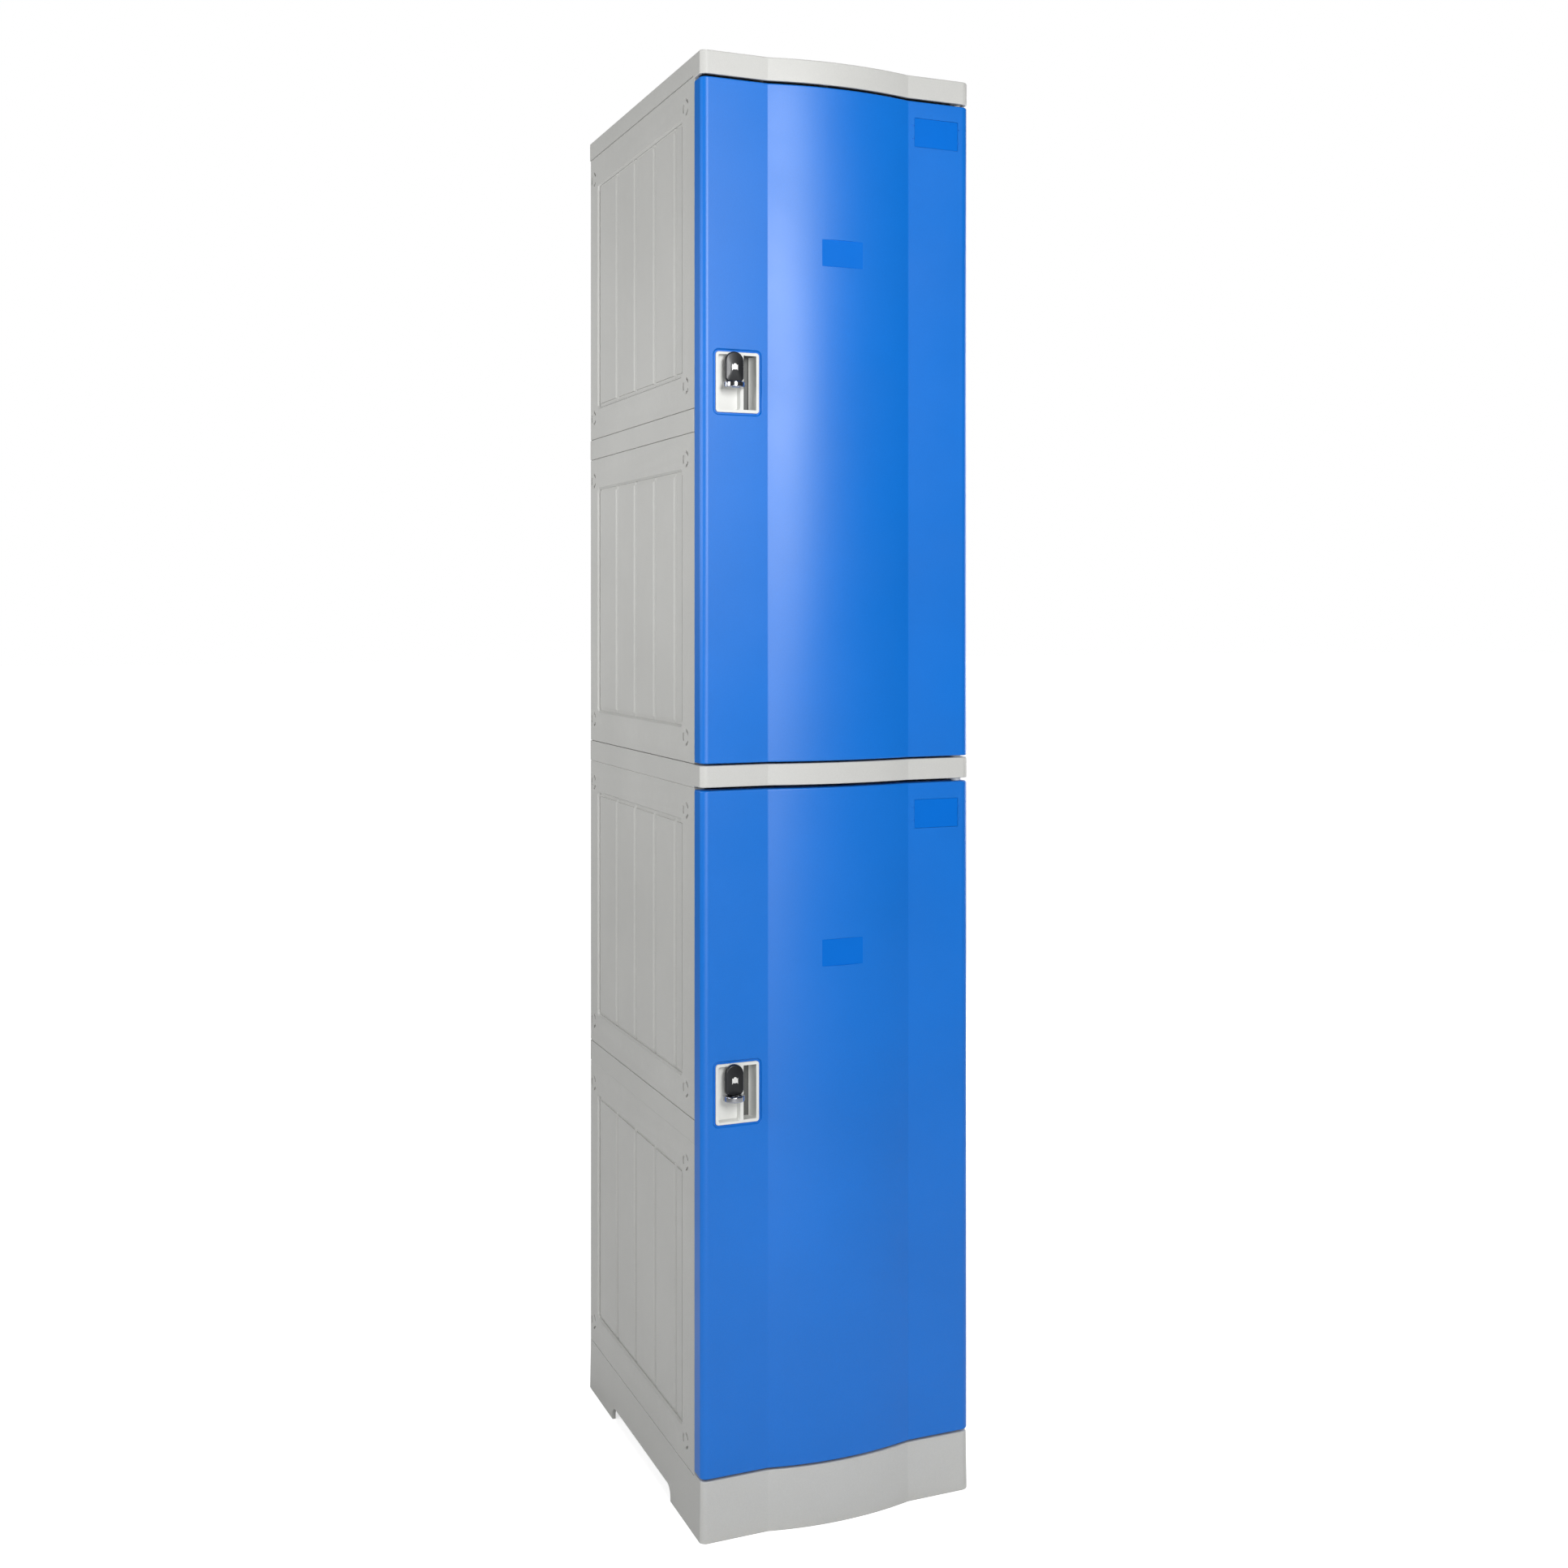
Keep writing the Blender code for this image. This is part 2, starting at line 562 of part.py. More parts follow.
# ---- Doors --------------------------------------------------------------------------------
class Hanger:
    """Pieces that are drawn where they lie in the locker, and hang on an empty on a joint's axis."""

    def __init__(self, shop, side, axle_name, origin, parent=None):
        self.shop, self.side, self.origin = shop, side, Vector(origin)
        self.low, self.high = DOOR_SPANS[side]
        place = self.origin - parent.origin if parent else self.origin
        self.empty = shop.axle(f"{side}_{axle_name}", place, parent.empty if parent else None)

    def part(self, name, mesh, material):
        """Adds a piece of this door or lock."""
        mesh.transform(Matrix.Translation(-self.origin))
        return self.shop.part(f"{self.side}_{name}", mesh, material, self.empty)

    def boolean(self, piece, mesh, operation="DIFFERENCE"):
        """Cuts a mesh from one of its pieces, or joins it on."""
        mesh.transform(Matrix.Translation(-self.origin))
        self.shop.boolean(piece, mesh, operation)


def door_form(low, high, inset=0.0):
    """A door's outer form, or a smaller copy of it."""
    plan = front_outline(DOOR_HALF_W, FRONT_Y, DOOR_BACK_Y, DOOR_CORNER_R, DOOR_CORNER_R, inset)
    return outline_mesh(plan, low + inset, high - inset)


def front_box(x, z, size, front, back, grow=0.0):
    """A box seen from the front by its middle and its width and height, between two depths."""
    half_w, half_h = size[0] / 2 + grow, size[1] / 2 + grow
    return box_mesh(((x - half_w, front, z - half_h), (x + half_w, back, z + half_h)))


def cup_outline(z, inset, radius):
    """The lock cup's rounded outline, shrunk by inset."""
    half_w, half_h = CUP_SIZE[0] / 2 - inset, CUP_SIZE[1] / 2 - inset
    return rounded_rectangle(CUP_X - half_w, z - half_h, CUP_X + half_w, z + half_h, radius, 3)


def make_door_shell(door):
    """The coloured outer half of a door: a hollow form, open at the back, with its cut-outs."""
    low, high = door.low, door.high
    cup_z = high - CUP_BELOW_TOP
    shell = door.part("door_shell", door_form(low, high), "door_blue_abs")
    cuts = [
        door_form(low, high, DOOR_SKIN),
        box_mesh(((-LINER_HALF_W - GAP, DOOR_BACK_Y - LINER_SEAT, low + LINER_INSET - GAP),
                  (LINER_HALF_W + GAP, DOOR_BACK_Y + LINER_SEAT, high - LINER_INSET + GAP))),
        outline_mesh(cup_outline(cup_z, -GAP, CUP_FLANGE_R + GAP), FRONT_Y - BEYOND,
                     FRONT_Y + CUP_FLANGE_T + GAP, "Y"),
        outline_mesh(cup_outline(cup_z, CUP_FLANGE_W - GAP, CUP_BODY_R + GAP), FRONT_Y - BEYOND,
                     FRONT_Y + 2 * DOOR_SKIN, "Y"),
        front_box(CARD_X, high - CARD_BELOW_TOP, CARD_SIZE, FRONT_Y - BEYOND, FRONT_Y + CARD_SINK),
        front_box(0, high - NUMBER_BELOW_TOP, NUMBER_SIZE, FRONT_Y - BULGE - BEYOND,
                  FRONT_Y - BULGE + NUMBER_SINK),
    ]
    for edge in (low, high):
        cuts.append(rod_mesh(BUSH_R + GAP, (HINGE_X, HINGE_Y, edge - 2 * DOOR_SKIN),
                             (HINGE_X, HINGE_Y, edge + 2 * DOOR_SKIN)))
    for mesh in cuts:
        door.boolean(shell, mesh)


def make_door_liner(door):
    """The plate that closes the back of a door, with a hole for the lock's barrel."""
    outline = rounded_rectangle(-LINER_HALF_W, door.low + LINER_INSET, LINER_HALF_W,
                                door.high - LINER_INSET, LINER_R, 2)
    liner = door.part("door_liner", outline_mesh(outline, DOOR_BACK_Y - LINER_T, DOOR_BACK_Y, "Y"),
                      "body_grey_abs")
    door.boolean(liner, lock_rod(door.side, BARREL_THREAD_R + GAP, DOOR_BACK_Y - BEYOND,
                                 DOOR_BACK_Y + BEYOND))


def make_lock_cup(door):
    """The grey cup: a shallow floor for the lock on the left, and a deep finger pocket on the right."""
    z = door.high - CUP_BELOW_TOP
    flange = outline_mesh(cup_outline(z, 0, CUP_FLANGE_R), FRONT_Y, FRONT_Y + CUP_FLANGE_T, "Y")
    cup = door.part("lock_cup", flange, "cup_grey")
    half_w, half_h = CUP_SIZE[0] / 2 - CUP_FLANGE_W, CUP_SIZE[1] / 2 - CUP_FLANGE_W
    left, right, foot, head = CUP_X - half_w, CUP_X + half_w, z - half_h, z + half_h
    ridge_left, ridge_right = (CUP_X + CUP_RIDGE_X + end * CUP_RIDGE_W / 2 for end in (-1, 1))
    lock_floor, finger_floor = FRONT_Y + CUP_LOCK_SINK, FRONT_Y + CUP_FINGER_SINK
    body = outline_mesh(cup_outline(z, CUP_FLANGE_W, CUP_BODY_R), FRONT_Y + CUP_FLANGE_T / 2,
                        lock_floor + CUP_WALL, "Y")
    deep = box_mesh(((ridge_right - CUP_WALL, lock_floor - CUP_WALL, foot),
                     (right, finger_floor + CUP_WALL, head)))
    door.boolean(cup, body, "UNION")
    door.boolean(cup, deep, "UNION")
    shallow = box_mesh(((left + CUP_WALL, FRONT_Y - BEYOND, foot + CUP_WALL),
                        (ridge_left, lock_floor, head - CUP_WALL)))
    pocket = box_mesh(((ridge_right, FRONT_Y - BEYOND, foot + CUP_WALL),
                       (right - CUP_WALL, finger_floor, head - CUP_WALL)))
    door.boolean(cup, shallow)
    door.boolean(cup, pocket)
    door.boolean(cup, lock_rod(door.side, BARREL_THREAD_R + GAP, lock_floor - OVERLAP,
                               lock_floor + CUP_WALL + OVERLAP))


def make_card_insert(door):
    """The thin name-card window that sits in its recess."""
    door.part("name_card_insert", front_box(CARD_X, door.high - CARD_BELOW_TOP, CARD_SIZE, FRONT_Y + GAP,
                                            FRONT_Y + CARD_SINK - GAP, -GAP), "card_blue")


def make_bushes(door):
    """Two nylon bushes. Each lines a hinge hole, and its flange keeps the door off the lip."""
    next_lips = {"lower": (PLINTH_LIP_H, DIVIDER_LIP[0]), "upper": (DIVIDER_LIP[1], TOP_Z - TOP_LIP_H)}
    for end, edge, lip in zip(("bottom", "top"), (door.low, door.high), next_lips[door.side]):
        outward = math.copysign(1, lip - edge)

        def length(radius, start, stop):
            return rod_mesh(radius, (HINGE_X, HINGE_Y, start), (HINGE_X, HINGE_Y, stop))

        bush = door.part(f"hinge_bush_{end}", length(BUSH_FLANGE_R, edge + outward * GAP,
                                                     lip - outward * GAP), "nylon")
        sleeve = length(BUSH_R, edge - outward * BUSH_SLEEVE, edge + outward * OVERLAP)
        door.boolean(bush, sleeve, "UNION")
        reach = outward * (BUSH_SLEEVE + BEYOND)
        door.boolean(bush, length(PIN_R + PIN_PLAY, edge - reach, edge + reach))
        finish_smooth(bush)


# ---- Locks --------------------------------------------------------------------------------
def lock_rod(side, radius, front, back, sides=16):
    """A cylinder along a lock's axis, between two depths."""
    return rod_mesh(radius, (LOCK_X, front, LOCK_Z[side]), (LOCK_X, back, LOCK_Z[side]), sides)


def lock_plate(side, outline, front, back):
    """A flat piece across a lock's axis. Its outline is drawn about the axis."""
    placed = [(LOCK_X + x, LOCK_Z[side] + z) for x, z in outline]
    return outline_mesh(placed, front, back, "Y")


def make_lock_body(door):
    """What stays with the door: the barrel, and the nut that clamps it in the cup."""
    side, floor = door.side, FRONT_Y + CUP_LOCK_SINK
    barrel = door.part("lock_barrel", lock_rod(side, BARREL_R, FRONT_Y - KNOB_LIFT + GAP, floor - GAP),
                       "lock_chrome")
    door.boolean(barrel, lock_rod(side, BARREL_THREAD_R, floor - OVERLAP, DOOR_BACK_Y + BARREL_TAIL),
                 "UNION")
    door.boolean(barrel, lock_rod(side, SPINDLE_R + GAP, FRONT_Y - BEYOND, DOOR_BACK_Y + BEYOND))
    finish_smooth(barrel)
    nut_front = floor + CUP_WALL + GAP
    nut = door.part("lock_nut", lock_rod(side, NUT_R, nut_front, nut_front + NUT_T, 6), "steel")
    door.boolean(nut, lock_rod(side, BARREL_THREAD_R + GAP, nut_front - BEYOND, nut_front + BEYOND))


def make_lock_turn(lock):
    """What turns: the knob with its spindle, the hasp for a padlock, the cam and its screw."""
    side, back = lock.side, FRONT_Y - KNOB_LIFT
    outline = stadium(KNOB_W, KNOB_UP, KNOB_DOWN)
    knob = lock.part("lock_knob", lock_plate(side, outline, back - KNOB_T, back), "lock_black")
    lock.boolean(knob, lock_rod(side, SPINDLE_R, back - OVERLAP, CAM_Y - GAP), "UNION")
    lock.boolean(knob, lock_rod(side, SCREW_R + GAP, CAM_Y - SCREW_BORE, CAM_Y + BEYOND))
    finish_smooth(knob)

    # The hasp is a level half-round plate under the knob, with an eye in front of the knob's face.
    top = LOCK_Z[side] - KNOB_DOWN - GAP
    half = HASP_W / 2
    ring_y = FRONT_Y - HASP_REACH + half
    plan = arc(LOCK_X, ring_y, half, 180, 360, 14)
    plan += [(LOCK_X + half, back - GAP), (LOCK_X - half, back - GAP)]
    hasp = lock.part("padlock_hasp", outline_mesh(plan, top - HASP_H, top), "lock_chrome")
    eye_r, eye_x = HASP_EYE[1] / 2, (HASP_EYE[0] - HASP_EYE[1]) / 2
    eye_y = FRONT_Y - HASP_EYE_LIFT
    eye = arc(LOCK_X + eye_x, eye_y, eye_r, -90, 90, 6) + arc(LOCK_X - eye_x, eye_y, eye_r, 90, 270, 6)
    lock.boolean(hasp, outline_mesh(eye, top - 2 * HASP_H, top + HASP_H))
    finish_smooth(hasp)

    cam = lock.part("latch_cam", lock_plate(side, stadium(CAM_W, CAM_W / 2, CAM_REACH), CAM_Y,
                                            CAM_Y + CAM_T), "steel")
    lock.boolean(cam, lock_rod(side, SCREW_R + GAP, CAM_Y - BEYOND, CAM_Y + BEYOND))
    head = CAM_Y + CAM_T + GAP
    screw = lock.part("cam_screw", lock_rod(side, SCREW_HEAD_R, head, head + SCREW_HEAD_T, 6), "steel")
    lock.boolean(screw, lock_rod(side, SCREW_R, CAM_Y - SCREW_BORE + OVERLAP, head + OVERLAP), "UNION")


def make_door(shop, side):
    """One door on its hinge line, with its lock on a second axis."""
    door = Hanger(shop, side, "door_hinge", (HINGE_X, HINGE_Y, DOOR_SPANS[side][0]))
    for make in (make_door_shell, make_door_liner, make_lock_cup, make_card_insert, make_bushes,
                 make_lock_body):
        make(door)
    make_lock_turn(Hanger(shop, side, "lock_axis", (LOCK_X, FRONT_Y, LOCK_Z[side]), door))


def main():
    """Builds the whole locker."""
    clear_scene()
    shop = Workshop()
    for make in (make_plinth, make_shelves, make_divider, make_cover, make_side_panels,
                 make_back_panels, make_hinge_pins, make_strikes, make_hooks):
        make(shop)
    for side in DOOR_SPANS:
        make_door(shop, side)


main()
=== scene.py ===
"""The looks of a two-tier plastic school locker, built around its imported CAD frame.

Metres, +Z up, and the front faces -Y. Each piece is drawn where its node lies in the frame, stands
for that node, and rides on that node's body.
"""
import json
import math

import bmesh
import bpy
from mathutils import Matrix, Vector


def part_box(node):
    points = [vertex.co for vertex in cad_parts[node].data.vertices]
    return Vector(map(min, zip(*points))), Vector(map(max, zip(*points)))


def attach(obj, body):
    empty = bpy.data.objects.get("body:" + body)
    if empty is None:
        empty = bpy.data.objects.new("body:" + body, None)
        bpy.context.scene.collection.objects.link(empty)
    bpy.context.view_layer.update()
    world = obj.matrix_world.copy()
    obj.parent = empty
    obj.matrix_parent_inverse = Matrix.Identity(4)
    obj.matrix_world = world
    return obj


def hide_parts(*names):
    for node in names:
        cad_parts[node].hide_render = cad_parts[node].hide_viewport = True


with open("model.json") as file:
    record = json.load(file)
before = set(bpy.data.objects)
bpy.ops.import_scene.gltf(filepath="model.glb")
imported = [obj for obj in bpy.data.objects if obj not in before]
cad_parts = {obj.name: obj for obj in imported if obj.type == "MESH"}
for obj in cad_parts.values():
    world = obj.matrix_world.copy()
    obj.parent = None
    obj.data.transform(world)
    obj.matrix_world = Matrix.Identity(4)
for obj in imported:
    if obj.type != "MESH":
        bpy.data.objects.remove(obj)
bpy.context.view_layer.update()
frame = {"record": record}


# ---- Places that the frame gives -------------------------
def low(node):
    """A node's lowest corner."""
    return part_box(node)[0]


def high(node):
    """A node's highest corner."""
    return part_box(node)[1]


SIDES = ("lower", "upper")
FLAT_Y = low("upper_lock_cup").y                # the flat stretches of the front
BULGE_Y = low("upper_door_shell").y             # the foremost line of the bulge
CABINET_Y = low("left_side_panel_1").y
DOOR_BACK_Y = high("upper_door_shell").y
BACK_Y = high("top_cover").y
HALF_W = high("top_cover").x
TOP_Z = high("top_cover").z
DOOR_HALF_W = high("upper_door_shell").x
PANEL_H = high("left_side_panel_1").z - low("left_side_panel_1").z
PANEL_T = high("left_side_panel_1").x - low("left_side_panel_1").x
HINGE_X = (low("hinge_pin_top").x + high("hinge_pin_top").x) / 2
HINGE_Y = (low("hinge_pin_top").y + high("hinge_pin_top").y) / 2
LOCK_X = (low("upper_lock_barrel").x + high("upper_lock_barrel").x) / 2
LOCK_Z = {side: (low(f"{side}_lock_barrel").z + high(f"{side}_lock_barrel").z) / 2 for side in SIDES}

# ---- Sizes of the fine shapes ----------------------------
EASE_ANGLE, SHARP_ANGLE = 38, 40                # degrees
BEYOND = 0.010              # how far a cutter runs past what it cuts
LAP = 0.001                 # how far joined shapes reach into each other
BULGE_CHORD = 0.200
BREAK_R = 0.010             # where the flat front turns into the bulge
CORNER_R = 0.0105
CORNER_LEAN = 28            # degrees between the side and the corner's arc
CORNER_EASE = 0.0024
REAR_R = 0.004
SKIN = 0.0035
WALL = 0.004
DOOR_EDGE_R = 0.0020
GAP_EASE = 0.0007           # how much the gap at a door's top is opened on each side
PLINTH_DRAFT = 0.0012
NOTCH_FRONT, NOTCH_REAR = 0.120, 0.382          # behind the flat front
NOTCH_H, NOTCH_R = 0.0195, 0.014
SEAM = 0.0003               # between a piece and the next one
BAND_INSET, BAND_EDGE = 0.00075, 0.0008         # the bands between the panels
POCKET_COUNT, POCKET_RIB, POCKET_EDGE = 4, 0.002, 0.0055    # under the shelves and the cover
COVER_MARGIN, COVER_FRONT_MARGIN, COVER_SINK = 0.020, 0.030, 0.0009
SINK_RISE = 0.004           # how far a sunken field's slope runs on above the surface
LIP_REACH, LIP_HOLLOW_REACH = 0.010, 0.012      # behind the cabinet's front

PANEL_SKIN = 0.0048
FIELD_SINK = 0.0022
FIELD_MARGIN = 0.046
FIELD_FRONT, FIELD_REAR = 0.078, 0.460          # behind the flat front
SIDE_GROOVES = (0.111, 0.1975, 0.284, 0.3705)   # behind the flat front
BACK_GROOVES = (-0.087, 0.0, 0.087)
GROOVE_HALF_W, GROOVE_SINK = 0.0074, 0.0044
BORDER_W, BORDER_SINK = 0.0056, 0.0018          # the channel round the field's edge
RIB_W, HOOK_RIB_W = 0.014, 0.026
MARK_R, MARK_W, MARK_SINK = 0.0095, 0.0038, 0.0030
MARK_FRONT, MARK_REAR, MARK_MARGIN = 0.063, 0.482, 0.032
MARK_ARCS = ((95, 160), (-35, 35), (205, 270))  # degrees
TRAY_RIM = 0.003            # round the hollows in a panel's back

CUP_RIM_GROW, CUP_RIM_SINK = 0.0042, 0.0027     # the trough around the lock cup
CUP_FLANGE_T, CUP_FLANGE_W = 0.0026, 0.002
CUP_FLANGE_R, CUP_BODY_R = 0.004, 0.0025
CUP_WALL = 0.002
CUP_LOCK_SINK = 0.009
CUP_RIDGE = (0.003, 0.008)                      # right of the cup's middle
POCKET_CURVE_W = 0.0065     # how wide the curved wall of the finger pocket is
CARD_SINK, NUMBER_SINK = 0.0013, 0.0011
NUMBER_W, NUMBER_H, NUMBER_BELOW_TOP = 0.058, 0.035, 0.2145
CLIP_H, CLIP_W, CLIP_PLACES = 0.0022, 0.0016, (0.27, 0.73)  # places as shares of the card's height
CLIP_DOT_R, CLIP_DOT_OUT = 0.0009, 0.0034
LINER_MARGIN, LINER_LATCH_MARGIN, LINER_SINK = 0.030, 0.060, 0.0012
BEAD_W, BEAD_MARGIN, BEAD_PLACES = 0.014, 0.060, (0.33, 0.67)   # places as shares of the field's width

PIN_R, PIN_BORE_R, PIN_POST_R = 0.003, 0.0033, 0.0075
PIN_POST_DEPTH, PIN_BORE_DEPTH = 0.024, 0.019   # in the plinth
BUSH_R, BUSH_FLANGE_R, BUSH_BORE_R, BUSH_SEAT_R = 0.005, 0.0072, 0.0034, 0.0053
HOOK_WIRE_R, HOOK_BEND_R, HOOK_CURL_R = 0.003, 0.006, 0.010
RIVET_R, RIVET_OFF = 0.0034, 0.019              # off the hook's middle

COLLAR_R, THREAD_R, LOCK_HOLE_R = 0.009, 0.0082, 0.0085
THREAD_STEP, THREAD_DEPTH, THREAD_STEPS = 0.0015, 0.0004, 11
SPINDLE_R, SPINDLE_HOLE_R = 0.004, 0.0043
KNOB_EDGE, KNOB_DOME = 0.0018, 0.0009
STUD_R, STUD_UP = 0.0036, 0.0015
EYE_FRONT, EYE_HALF, EYE_R = 0.0118, 0.0028, 0.0032         # the hasp's eye, from the flat front
NUT_R, CAM_HOLE_R = 0.0115, 0.0023
SCREW_HEAD_R, SCREW_HEAD_H, SCREW_R = 0.0042, 0.0025, 0.002
SLOT_W, SLOT_DEPTH = 0.0008, 0.0008             # in the screw's head


# ---- Outlines --------------------------------------------
def arc(cx, cy, radius, start, end, steps):
    """Points on an arc, in degrees, with both ends."""
    angles = [math.radians(start + (end - start) * i / steps) for i in range(steps + 1)]
    return [(cx + radius * math.cos(a), cy + radius * math.sin(a)) for a in angles]


def circle(cx, cy, radius, steps=40):
    """The outline of a circle."""
    return arc(cx, cy, radius, 0, 360, steps)[:-1]


def rounded_rectangle(x0, z0, x1, z1, radius, steps=6):
    """The outline of a rectangle with rounded corners."""
    corners = ((x1 - radius, z0 + radius, -90), (x1 - radius, z1 - radius, 0),
               (x0 + radius, z1 - radius, 90), (x0 + radius, z0 + radius, 180))
    return [p for cx, cz, a in corners for p in arc(cx, cz, radius, a, a + 90, steps)]


def slot(cx, cy, half_length, radius, steps=12):
    """The outline of a slot that runs along the first axis."""
    return (arc(cx + half_length, cy, radius, -90, 90, steps)
            + arc(cx - half_length, cy, radius, 90, 270, steps))


def front_corner(half_w, radius, ease_r):
    """The left front corner of a plan: an arc that meets the side at an angle, with that edge eased."""
    inner = radius - ease_r
    turn = math.radians(180 + CORNER_LEAN)
    cx, cy = -half_w + ease_r - inner * math.cos(turn), FLAT_Y + radius
    ease = arc(cx + inner * math.cos(turn), cy + inner * math.sin(turn), ease_r, 180, 180 + CORNER_LEAN, 3)
    return ease + arc(cx, cy, radius, 180 + CORNER_LEAN, 270, 9)[1:]


def front_plan(half_w, back_y, back_r=REAR_R, ease_r=CORNER_EASE, back_left_r=None):
    """The plan of a piece whose front bulges, with a soft break at each end of the bulge.

    The rear corners have the radius back_r, but for the left one if back_left_r is given.
    """
    back_left_r = back_left_r or back_r
    sagitta, chord = FLAT_Y - BULGE_Y, BULGE_CHORD / 2
    radius = (chord ** 2 + sagitta ** 2) / (2 * sagitta)
    rise = radius + BREAK_R - sagitta
    break_x = math.sqrt((radius + BREAK_R) ** 2 - rise ** 2)
    lean = math.degrees(math.atan2(rise, break_x))
    left = arc(-break_x, FLAT_Y - BREAK_R, BREAK_R, 90, lean, 4)
    bulge = arc(0, BULGE_Y + radius, radius, lean - 180, -lean, 44)
    right = arc(break_x, FLAT_Y - BREAK_R, BREAK_R, 180 - lean, 90, 4)
    corner = front_corner(half_w, CORNER_R, ease_r)
    return (corner + left + bulge[1:-1] + right + [(-x, y) for x, y in reversed(corner)]
            + arc(half_w - back_r, back_y - back_r, back_r, 0, 90, 6)
            + arc(-half_w + back_left_r, back_y - back_left_r, back_left_r, 90, 180, 6))


def inner_plan(half_w, back_y, inset):
    """The plan of the hollow in such a piece, with walls as thick as the inset."""
    return shrunk(front_plan(half_w, back_y, inset + LAP, inset + LAP), inset)


def round_topped(node, side):
    """A knob's or a cam's outline about the lock's axis, with a round top and smaller lower corners."""
    a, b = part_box(node)
    half, up, down = (b.x - a.x) / 2, b.z - LOCK_Z[side], LOCK_Z[side] - a.z
    corner = half * 0.45
    points = (arc(0, up - half, half, 0, 180, 20) + arc(-half + corner, -down + corner, corner, 180, 270, 8)
              + arc(half - corner, -down + corner, corner, 270, 360, 8))
    return [(x + LOCK_X, z + LOCK_Z[side]) for x, z in points]


def node_outline(node, grow, radius, steps=8):
    """A node's rectangle as seen from the front, larger by grow on each side, with rounded corners."""
    a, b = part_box(node)
    return rounded_rectangle(a.x - grow, a.z - grow, b.x + grow, b.z + grow, radius, steps)


def shrunk(points, distance):
    """The outline with every side moved inwards. It runs anticlockwise."""
    result = []
    for before, here, after in zip(points[-1:] + points[:-1], points, points[1:] + points[:1]):
        sides = []
        for start, end in ((before, here), (here, after)):
            dx, dy = end[0] - start[0], end[1] - start[1]
            length = math.hypot(dx, dy)
            sides.append((-dy / length, dx / length))
        nx, ny = sides[0][0] + sides[1][0], sides[0][1] + sides[1][1]
        reach = distance * 2 / (nx * nx + ny * ny)
        result.append((here[0] + nx * reach, here[1] + ny * reach))
    return result


# ---- Solids ----------------------------------------------
def stack(points, levels, axis="Z", endless=False):
    """A closed solid of copies of an outline, one above another, or in a ring without ends.

    A level is (how far the outline is shrunk, its height) and maybe a scale about its middle. The
    outline's own X and Y are X and Y for axis Z, X and Z for axis Y, and Y and Z for axis X.
    """
    bm = bmesh.new()
    middle = [(min(p[i] for p in points) + max(p[i] for p in points)) / 2 for i in (0, 1)]
    rings = []
    for inset, height, *scale in levels:
        size = scale[0] if scale else 1
        ring = []
        for u, v in (shrunk(points, inset) if inset else points):
            u, v = middle[0] + (u - middle[0]) * size, middle[1] + (v - middle[1]) * size
            ring.append(bm.verts.new({"Z": (u, v, height), "Y": (u, height, v), "X": (height, u, v)}[axis]))
        rings.append(ring)
    for below, above in zip(rings, rings[1:] + (rings[:1] if endless else [])):
        for i in range(len(points)):
            j = (i + 1) % len(points)
            bm.faces.new((below[i], below[j], above[j], above[i]))
    if not endless:
        bm.faces.new(rings[0])
        bm.faces.new(rings[-1])
    return closed(bm)


def closed(bm):
    """The bmesh as a mesh with its faces turned outwards."""
    bmesh.ops.recalc_face_normals(bm, faces=bm.faces)
    mesh = bpy.data.meshes.new("form")
    bm.to_mesh(mesh)
    bm.free()
    return mesh


def rounded(start, end, start_r, end_r, draft=0.0, steps=5):
    """Levels from start to end with rounded edges. Draft is how much narrower the far end is."""
    levels = []
    for centre, radius, way in ((start + start_r, start_r, -1), (end - end_r, end_r, 1)):
        turns = [math.pi / 2 * i / steps for i in range(steps + 1)] if radius else [math.pi / 2]
        for turn in turns[::-way]:
            levels.append((radius * (1 - math.sin(turn)), centre + way * radius * math.cos(turn)))
    return [(inset + draft * (height - start) / (end - start), height) for inset, height in levels]


def box(a, b):
    """A box between two corners."""
    a, b = Vector(a), Vector(b)
    place = Matrix.Translation((a + b) / 2) @ Matrix.Diagonal((*(b - a), 1))
    bm = bmesh.new()
    bmesh.ops.create_cube(bm, size=1, matrix=place)
    return closed(bm)


def shaped(mesh, joins=(), cuts=(), ease=0.0, segments=2):
    """The mesh with others joined to it, then others cut from it, and last its sharp edges eased."""
    obj = bpy.data.objects.new("form", mesh)
    tools = []
    bpy.context.scene.collection.objects.link(obj)
    for operation, others in (("UNION", joins), ("DIFFERENCE", cuts)):
        for other in others:
            tool = bpy.data.objects.new("tool", other)
            bpy.context.scene.collection.objects.link(tool)
            tools.append(tool)
            modifier = obj.modifiers.new(operation, "BOOLEAN")
            modifier.operation = operation
            modifier.solver = "EXACT"
            modifier.object = tool
    if ease:
        bevel = obj.modifiers.new("Ease", "BEVEL")
        bevel.width = ease
        bevel.segments = segments
        bevel.limit_method = "ANGLE"
        bevel.angle_limit = math.radians(EASE_ANGLE)
        bevel.use_clamp_overlap = True
    bpy.context.view_layer.update()
    graph = bpy.context.evaluated_depsgraph_get()
    result = bpy.data.meshes.new_from_object(obj.evaluated_get(graph))
    for made in tools + [obj]:
        bpy.data.objects.remove(made, do_unlink=True)
    return result


def moved(mesh, x=0.0, y=0.0, z=0.0):
    """A copy of the mesh in another place."""
    copy = mesh.copy()
    copy.transform(Matrix.Translation((x, y, z)))
    return copy


def mirrored(mesh):
    """A copy of the mesh, mirrored left to right."""
    copy = mesh.copy()
    copy.transform(Matrix.Scale(-1, 4, (1, 0, 0)))
    copy.flip_normals()
    return copy


# ---- Materials -------------------------------------------
GRAIN = 900.0               # cells of the moulded grain in a metre
WEAR = 0.12                 # how far rubbed edges go towards their worn colour


